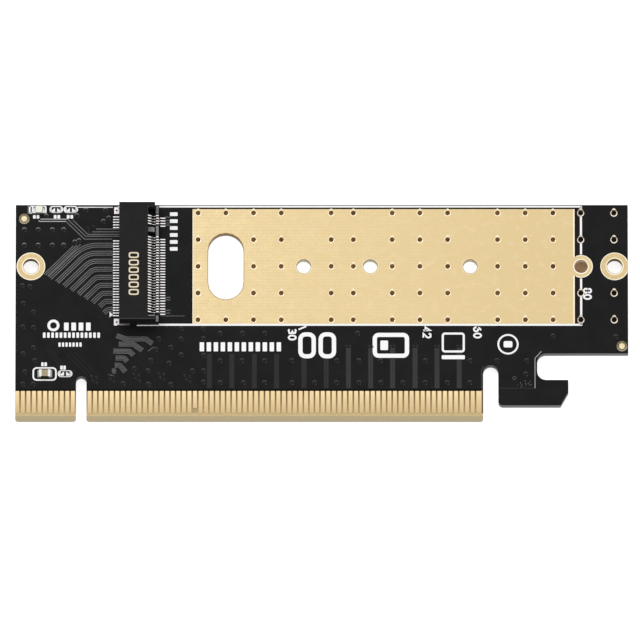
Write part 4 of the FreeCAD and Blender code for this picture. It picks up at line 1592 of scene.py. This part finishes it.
@dataclass(frozen=True)
class PrintedMarks:
    """White print on the board: module frame, part outlines, length numbers and plain fields."""

    line: float = 0.4
    stem: float = 0.33
    height: float = 0.034
    frame_left_x: float = 25.8
    frame_right_x: float = 101.95
    frame_top_y: float = 39.96
    frame_top_line: float = 0.33
    frame_bottom_y: float = 17.85
    housing_side: Path = ((21.9, 17.74), (25.9, 17.74))
    behind_housing: Path = ((11.2, 39.85), (17.5, 39.85))
    hole_gap: float = 2.24
    via_gap: float = 0.66
    part_boxes: tuple[Field, ...] = (
        Field(2.25, 5.45, 38.76, 40.03, 0.2, 0.2), Field(6.19, 8.42, 38.88, 40.0, 0.52, 0.22),
        Field(8.71, 11.12, 38.88, 40.0, 0.52, 0.22), Field(3.25, 7.32, 7.52, 9.77, 0.6, 0.3),
        Field(7.72, 10.21, 8.14, 9.26, 0.55, 0.18))
    led_bar: Path = ((2.16, 38.72), (2.66, 38.72), (2.66, 40.1), (2.16, 40.1))
    first_contact: Path = ((16.95, 19.2), (17.6, 19.75), (16.95, 20.3))
    name_x: tuple[float, ...] = (3.1, 3.75, 6.85, 7.5, 9.2, 9.85)
    name_y: Point = (37.72, 38.4)
    small_names: Path = ((4.67, 10.07), (5.25, 10.07), (8.1, 9.45), (8.65, 9.45))
    numbers: tuple[tuple[str, float, float], ...] = (
        ("30", 49.23, 17.0), ("42", 73.5, 17.38), ("60", 82.61, 17.38), ("80", 102.45, 24.6))
    figure_pitch: float = 1.16
    figure_tall: float = 1.3
    figure_wide: float = 0.78
    pointer: Path = ((51.0, 16.95), (52.4, 17.55))
    rows: tuple[Row, ...] = (Row(33.2, 12, 1.26, 13.72, 1.7), Row(8.75, 4, 1.32, 17.5, 1.5),
                             Row(4.95, 14, 0.755, 15.9, 1.0), Row(7.76, 7, 0.63, 14.13, 0.8))
    boxes: tuple[Field, ...] = (
        Field(51.35, 53.75, 11.95, 16.05, 0.9, 0.8), Field(55.0, 57.4, 11.95, 16.05, 0.9, 0.8),
        Field(64.75, 70.55, 12.05, 15.95, 0.7, 0.8), Field(65.75, 67.15, 13.1, 14.9, 0.2),
        Field(77.0, 80.78, 12.85, 16.2, 0.4, 0.4), Field(76.8, 80.98, 11.4, 12.15, 0.15),
        Field(87.95, 89.55, 13.6, 14.8, 0.3))
    rings: tuple[tuple[float, float, float, int, float], ...] = (
        (6.85, 17.72, 0.85, 28, 0.5), (88.75, 14.2, 1.75, 36, 0.34))
    column_x: Point = (27.8, 29.2)
    column_top_y: float = 38.9
    column_pitch: float = 1.3
    column_block: float = 0.7
    column_count: int = 6

    def stroke(self, shape: Shape, path: Sequence[Point], width: float, looped: bool = False) -> None:
        """Draw one printed line."""
        shape.ribbon(path, width, SEAT, FACE + self.height, looped, 0.08)

    def field(self, shape: Shape, outline: Sequence[Point]) -> None:
        """Fill one printed field."""
        shape.slab(outline, SEAT, FACE + self.height, 0.01)

    def draw(self, shape: Shape, boxes: Iterable[Field]) -> None:
        """Draw printed boxes.

        Args:
            shape: Where their faces go.
            boxes: The boxes, outlined or filled.
        """
        for box in boxes:
            if box.width:
                self.stroke(shape, box.outline, box.width, True)
            else:
                self.field(shape, box.outline)

    def module_frame(self, shape: Shape) -> None:
        """Draw the frame round the module bay, broken at the 80 mm hole and the ring vias.

        Args:
            shape: Where the faces go.
        """
        right, top, bottom = self.frame_right_x, self.frame_top_y, self.frame_bottom_y
        end = right + self.line / 2
        self.stroke(shape, [(self.frame_left_x + 0.1, top), (end, top)], self.frame_top_line)
        self.stroke(shape, [(self.frame_left_x, bottom), (end, bottom)], self.line)
        self.stroke(shape, self.housing_side, 0.2)
        gaps = [(BAY_Y + offset, self.via_gap) for offset in (-10, -5, 5, 10)] + [(BAY_Y, self.hole_gap)]
        y = bottom
        for middle, gap in sorted(gaps) + [(top, 0)]:
            if middle - gap > y:
                self.stroke(shape, [(right, y), (right, middle - gap)], self.line)
            y = middle + gap
        self.stroke(shape, self.behind_housing, 0.16)

    def part_outlines(self, shape: Shape) -> None:
        """Draw the outlines round the small parts and the socket's first-contact mark.

        Args:
            shape: Where the faces go.
        """
        self.draw(shape, self.part_boxes)
        self.field(shape, self.led_bar)
        self.field(shape, self.first_contact)
        self.draw(shape, (Field(x, x + 0.5, *self.name_y, 0.1) for x in self.name_x))
        self.draw(shape, (Field(x, x + 0.45, y, y + 0.75, 0.1) for x, y in self.small_names))

    def digit(self, shape: Shape, figure: str, x: float, y: float) -> None:
        """Draw one figure turned a quarter clockwise, its top towards +X.

        Args:
            shape: Where its strokes go.
            figure: The figure.
            x: X of its foot.
            y: Y of its left side, which is its upper end on the board.
        """
        oval = [(0.5 + 0.5 * math.sin(math.radians(t)), 0.5 + 0.5 * math.cos(math.radians(t)))
                for t in range(0, 360, 30)]
        strokes = {
            "0": [(oval, True)],
            "2": [([(0, 0.75), (0.2, 1), (0.8, 1), (1, 0.75), (0.9, 0.5), (0, 0), (1, 0)], False)],
            "3": [([(0, 0.9), (0.3, 1), (0.9, 0.9), (0.9, 0.6), (0.45, 0.52), (0.95, 0.42), (0.95, 0.12),
                    (0.3, 0), (0, 0.1)], False)],
            "4": [([(0.75, 0), (0.75, 1), (0, 0.3), (1, 0.3)], False)],
            "6": [([(0.5 + 0.5 * u, v * 0.6) for u, v in [(2 * a - 1, b) for a, b in oval]], True),
                  ([(0.02, 0.35), (0.2, 0.75), (0.7, 1)], False)],
            "8": [([(a * 0.9 + 0.05, 0.55 + b * 0.45) for a, b in oval], True),
                  ([(a, b * 0.55) for a, b in oval], True)],
        }
        for path, looped in strokes[figure]:
            placed = [(x + v * self.figure_tall, y - u * self.figure_wide) for u, v in path]
            self.stroke(shape, placed, self.stem, looped)

    def length_numbers(self, shape: Shape) -> None:
        """Draw the module length beside each hole that takes that module.

        Args:
            shape: Where the faces go.
        """
        for number, x, y in self.numbers:
            for index, figure in enumerate(number):
                self.digit(shape, figure, x, y - self.figure_pitch * index)
        self.stroke(shape, self.pointer, 0.3)

    def plain_fields(self, shape: Shape) -> None:
        """Draw plain rings, boxes and short bars where a board usually has its marks.

        Args:
            shape: Where the faces go.
        """
        for row in self.rows:
            self.draw(shape, row.blocks())
        for index in range(self.column_count):
            y = self.column_top_y - index * self.column_pitch
            self.draw(shape, [Field(*self.column_x, y - self.column_block, y, 0.12)])
        self.draw(shape, self.boxes)
        for x, y, radius, sides, width in self.rings:
            self.stroke(shape, circle(x, y, radius, sides), width, True)

    def build(self, finishes: Finishes) -> None:
        """Make all the print.

        Args:
            finishes: The card's materials.
        """
        groups = {"print_frame": self.module_frame, "print_part_outlines": self.part_outlines,
                  "print_length_numbers": self.length_numbers, "print_plain_fields": self.plain_fields}
        for name, draw in groups.items():
            shape = Shape()
            draw(shape)
            shape.piece(name, finishes["white_ink"], None)


@dataclass(frozen=True)
class SocketSolder:
    """Pads and solder at the socket's tails, and webs of darker mask between the tails, painted shade."""

    pad_width: float = 0.18
    pin_width: float = 0.24
    pad_height: float = 0.03
    pad_reach: Point = (0.03, 0.9)
    bead_reach: Point = (0.03, 0.1)
    bead_height: float = 0.12
    web_reach: Point = (0.06, 1.1)
    pin_count: int = 75
    half_pitch: float = 0.25
    first_offset: float = -9.25
    keyed: range = range(59, 67)

    def tail_places(self, parity: int) -> list[float]:
        """Return the Y of each tail of one row."""
        numbers = [n for n in range(1, self.pin_count + 1) if n % 2 == parity and n not in self.keyed]
        return [BAY_Y + self.first_offset + self.half_pitch * (n - 1) for n in numbers]

    def build(self, finishes: Finishes) -> None:
        """Make the pads, the solder and the webs of painted shade.

        Args:
            finishes: The card's materials.
        """
        solder, web = Shape(), Shape()
        half, gap = self.pad_width / 2, self.pin_width / 2
        rear, front = Block.of("socket_upper_contacts").low.x, Block.of("socket_lower_contacts").high.x
        for parity, tip, way in ((1, rear, -1), (0, front, 1)):
            pad, bead, between = (sorted((tip + way * beyond, tip - way * under))
                                  for beyond, under in (self.pad_reach, self.bead_reach, self.web_reach))
            places = self.tail_places(parity)
            for y in places:
                solder.bar(*pad, y - half, y + half, SHALLOW, FACE + self.pad_height, 0.02)
                solder.bar(*bead, y - half + 0.02, y + half - 0.02, FACE, FACE + self.bead_height, 0.04)
            # Painted shade: webs of darkest mask between neighbouring tails.
            for y, after in zip(places, places[1:]):
                if after - y < 3 * self.half_pitch:
                    web.bar(*between, y + gap, after - gap, SEAT, FACE + 0.02)
        solder.piece("socket_solder", finishes["solder"], Slot.TIN)
        web.piece("socket_painted_shade_webs", finishes["darkest_mask_and_painted_shade"], Slot.MASK)


@dataclass(frozen=True)
class SocketEdges:
    """Painted highlights as pale lands on the moulded housing's lip and key rib."""

    skin: float = 0.012
    rib_top: float = 3.05
    rib_x: Point3 = (23.9, 24.6, 25.05)
    rib_offset: float = 6.125
    rib_width: float = 0.9
    rib_chamfer: float = 0.45
    lip_x: Point = (25.27, 25.79)
    lip_height: float = 1.9
    upper_lands: tuple[Point, ...] = ((33.9, 35.85), (38.1, 39.5))
    lower_land_y: float = 19.05

    def rib_skin(self, shape: Shape) -> None:
        """Lay a pale skin, a painted highlight, over the key rib's top and its chamfer.

        Args:
            shape: Where the faces go.
        """
        x0, x1, x2 = self.rib_x
        half = self.rib_width / 2 - 0.03
        middle = BAY_Y + self.rib_offset
        top = FACE + self.rib_top
        sections = []
        for x, z in ((x0, top), (x1, top), (x2, top - self.rib_chamfer)):
            lift = self.skin if x < x2 else 0.0
            sections.append([(x, middle - half, z - 0.01), (x, middle - half, z + lift),
                             (x + self.skin, middle + half, z + lift), (x, middle + half, z - 0.01)])
        shape.loft(sections)

    def build(self, finishes: Finishes) -> None:
        """Make the pale lands of painted highlight.

        Args:
            finishes: The card's materials.
        """
        shape = Shape()
        self.rib_skin(shape)
        low = FACE + self.lip_height
        lower_land = (Block.of("socket_housing").low.y + 0.1, self.lower_land_y)
        for land_y in (*self.upper_lands, lower_land):
            shape.bar(*self.lip_x, *land_y, low - 0.01, low + self.skin, 0.03)
        shape.piece("socket_painted_highlights", finishes["plastic_painted_highlights"], Slot.PLASTIC)


@dataclass(frozen=True)
class Wing:
    """Solder over one end of a small part: level on the part, sloping beyond it, wider at its lower side."""

    inner: float
    end: float
    outer_low: float
    outer_high: float
    low_y: float
    high_y: float
    part_top: float
    skin: float = 0.03
    foot: float = 0.03

    def lay(self, shape: Shape, steps: int = 8) -> None:
        """Skin the wing.

        Args:
            shape: Where its faces go.
            steps: Straight pieces from its lower to its upper side.
        """
        way = 1 if self.outer_low > self.inner else -1
        crown = self.part_top + self.skin
        sections = []
        for step in range(steps + 1):
            share = step / steps
            y = self.low_y + (self.high_y - self.low_y) * share
            outer = self.outer_low + (self.outer_high - self.outer_low) * share
            past = (outer - self.end) * way > 0.02
            knee = self.end if past else self.inner + (outer - self.inner) * 0.9
            low = self.foot if past else self.part_top - 0.02
            row = [(self.inner, crown), (knee, crown - 0.01), (outer, low), (self.inner, 0.0)]
            sections.append([(x, y, FACE + z) for x, z in row])
        shape.loft(sections if way > 0 else [section[::-1] for section in sections])


@dataclass(frozen=True)
class SmallPartEnds:
    """Tinned ends and solder of the chip parts and the indicator."""

    resistors: tuple[str, ...] = ("resistor_near_slot", "resistor_beside_led", "resistor_middle")
    core: float = 0.2
    reach: float = 0.24
    high_reach: float = 0.08
    low_cut: float = 0.03
    high_cut: float = 0.16
    capacitor_reach: float = 0.3
    capacitor_high_reach: float = 0.04
    capacitor_high_cut: float = 0.1
    led_low: Point = (2.82, 5.42)
    led_high: Point = (3.48, 4.9)
    led_y: Point = (38.64, 39.82)
    led_top: float = 0.45

    def resistor(self, shape: Shape, box: Block) -> None:
        """Lay both ends of one resistor: bright wings beside a short dark middle, each wing wider at its
        lower side where the solder's glint is drawn, a painted highlight.

        Args:
            shape: Where their faces go.
            box: Box of the resistor's terminals.
        """
        for side, end in ((-1, box.low.x), (1, box.high.x)):
            inner = box.centre.x + side * self.core
            Wing(inner, end, end + side * self.reach, inner + side * self.high_reach,
                 box.low.y - self.low_cut, box.high.y - self.high_cut, box.high.z - FACE).lay(shape)

    def capacitor(self, shape: Shape, box: Block) -> None:
        """Lay the solder at both ends of the capacitor.

        Args:
            shape: Where its faces go.
            box: Box of the capacitor's terminals.
        """
        for side, end in ((-1, box.low.x), (1, box.high.x)):
            reach = side * self.capacitor_reach
            top_end = end + side * self.capacitor_high_reach
            Wing(end - reach, end, end + reach, top_end, box.low.y - self.low_cut,
                 box.high.y - self.capacitor_high_cut, box.high.z - FACE).lay(shape)

    def led(self, shape: Shape, lens: Block) -> None:
        """Lay both ends of the indicator, which widen its lens into a low dome.

        Args:
            shape: Where their faces go.
            lens: Box of the lens.
        """
        for edge, low, high in zip((lens.low.x, lens.high.x), self.led_low, self.led_high):
            way = -1 if low < edge else 1
            Wing(edge - way * 0.04, low - way * 0.22, low, high, *self.led_y, self.led_top).lay(shape)

    def build(self, finishes: Finishes) -> None:
        """Make the ends.

        Args:
            finishes: The card's materials.
        """
        ends, indicator, fillets = Shape(), Shape(), Shape()
        terminals = [part + "_terminals" for part in self.resistors]
        for node in terminals:
            self.resistor(ends, Block.of(node))
        ends.piece("resistor_ends", finishes["solder"], Slot.TIN, terminals)
        self.led(indicator, Block.of("led_lens"))
        indicator.piece("led_ends", finishes["led_resin"], Slot.TIN, ["led_terminals"])
        self.capacitor(fillets, Block.of("capacitor_terminals"))
        fillets.piece("capacitor_solder", finishes["solder"], Slot.TIN)


@dataclass(frozen=True)
class Studio:
    """Pale floor, soft lamps and the camera."""

    ambient: float = 0.72
    floor_reach: float = 6.0
    floor_drop: float = 0.00005
    floor_grey: float = 0.8
    floor_glow: float = 0.66
    tilt_degrees: float = 15.55
    distance: float = 4.5
    lens: float = 1404.7
    sensor_width: float = 36.0
    clip_end: float = 100.0
    aim: Point3 = (54.88, 18.738, 1.6)

    def place(self, name: str, data: bpy.types.ID) -> bpy.types.Object:
        """Put a lamp, camera or mesh into the scene.

        Args:
            name: The object's name.
            data: Its lamp, camera or mesh.

        Returns:
            The new object.
        """
        thing = bpy.data.objects.new(name, data)
        bpy.context.scene.collection.objects.link(thing)
        return thing

    def world(self) -> None:
        """Light the card evenly, and show white to the camera and in reflections."""
        world = bpy.data.worlds.new("soft_white_room")
        bpy.context.scene.world = world
        world.use_nodes = True
        nodes, links = world.node_tree.nodes, world.node_tree.links
        background = nodes["Background"]
        background.inputs["Color"].default_value = (1, 1, 1, 1)
        path = nodes.new("ShaderNodeLightPath")
        seen = path.outputs["Is Camera Ray"]
        for ray in ("Is Glossy Ray", "Is Transmission Ray"):
            either = nodes.new("ShaderNodeMath")
            either.operation = "MAXIMUM"
            links.new(seen, either.inputs[0])
            links.new(path.outputs[ray], either.inputs[1])
            seen = either.outputs[0]
        level = nodes.new("ShaderNodeMapRange")
        level.inputs["To Min"].default_value = self.ambient
        level.inputs["To Max"].default_value = 1.0
        links.new(seen, level.inputs["Value"])
        links.new(level.outputs["Result"], background.inputs["Strength"])

    def lamp(self, name: str, spot: Point3, size: float, power: float) -> None:
        """Hang one soft square lamp that looks at the card.

        Args:
            name: The lamp's name.
            spot: Where it hangs, in metres.
            size: Length of its sides.
            power: Its power in watts.
        """
        data = bpy.data.lights.new(name, "AREA")
        data.size, data.energy = size, power
        thing = self.place(name, data)
        thing.location = spot
        thing.rotation_euler = (-Vector(spot)).to_track_quat("-Z", "Y").to_euler()

    def floor_finish(self) -> bpy.types.Material:
        """Build the floor's material, which glows a little to the camera alone.

        Returns:
            The material.
        """
        material = bpy.data.materials.new("white_floor")
        material.use_nodes = True
        nodes, links = material.node_tree.nodes, material.node_tree.links
        shader = nodes["Principled BSDF"]
        shader.inputs["Base Color"].default_value = (*(self.floor_grey,) * 3, 1)
        shader.inputs["Roughness"].default_value = 0.9
        shader.inputs["Specular IOR Level"].default_value = 0.0
        shader.inputs["Emission Color"].default_value = (1, 1, 1, 1)
        seen = nodes.new("ShaderNodeMath")
        seen.operation = "MULTIPLY"
        seen.inputs[1].default_value = self.floor_glow
        links.new(nodes.new("ShaderNodeLightPath").outputs["Is Camera Ray"], seen.inputs[0])
        links.new(seen.outputs[0], shader.inputs["Emission Strength"])
        return material

    def floor(self) -> None:
        """Lay a white floor that keeps the card's shadow."""
        reach, level = self.floor_reach, CAD_BOX[0].z - self.floor_drop
        mesh = bpy.data.meshes.new("floor")
        corners = [(-reach, -reach), (reach, -reach), (reach, reach), (-reach, reach)]
        mesh.from_pydata([(x, y, level) for x, y in corners], [], [(0, 1, 2, 3)])
        mesh.materials.append(self.floor_finish())
        self.place("floor", mesh)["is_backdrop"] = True

    def camera(self) -> None:
        """Set the camera above the card, leaning towards the edge contacts."""
        data = bpy.data.cameras.new("camera")
        data.lens, data.sensor_width, data.clip_end = self.lens, self.sensor_width, self.clip_end
        thing = self.place("camera", data)
        tilt = math.radians(self.tilt_degrees)
        back = Vector((0, -math.sin(tilt), math.cos(tilt)))
        thing.location = CAD_BOX[0] + Vector(self.aim) * MM + back * self.distance
        thing.rotation_euler = (tilt, 0, 0)
        bpy.context.scene.camera = thing

    def build(self) -> None:
        """Make the whole studio."""
        self.world()
        self.floor()
        self.lamp("key_lamp", (-0.45, 0.5, 0.6), 0.35, 2.2)
        self.lamp("fill_lamp", (0.6, -0.3, 0.8), 0.6, 1.2)
        self.camera()
        bpy.context.scene.view_settings.view_transform = "Standard"
        log.info("studio ready")


def write_sizes() -> None:
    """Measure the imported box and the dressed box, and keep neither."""
    boxes = {name: [list(corner) for corner in box]
             for name, box in (("cad", CAD_BOX), ("visual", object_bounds()))}


def main() -> None:
    """Dress the card and set up the studio."""
    Studio().build()
    finishes = Finishes()
    finishes.dress_nodes()
    for maker in (CopperTraces(), TentedVias(), OpenVias(), HoleRims(), AlignmentMarks(), BoardRims(),
                  DustFlecks(), PrintedMarks(), SocketSolder(), SocketEdges(), SmallPartEnds()):
        maker.build(finishes)
        log.info("%s built", type(maker).__name__)
    write_sizes()


if __name__ == "__main__":
    main()
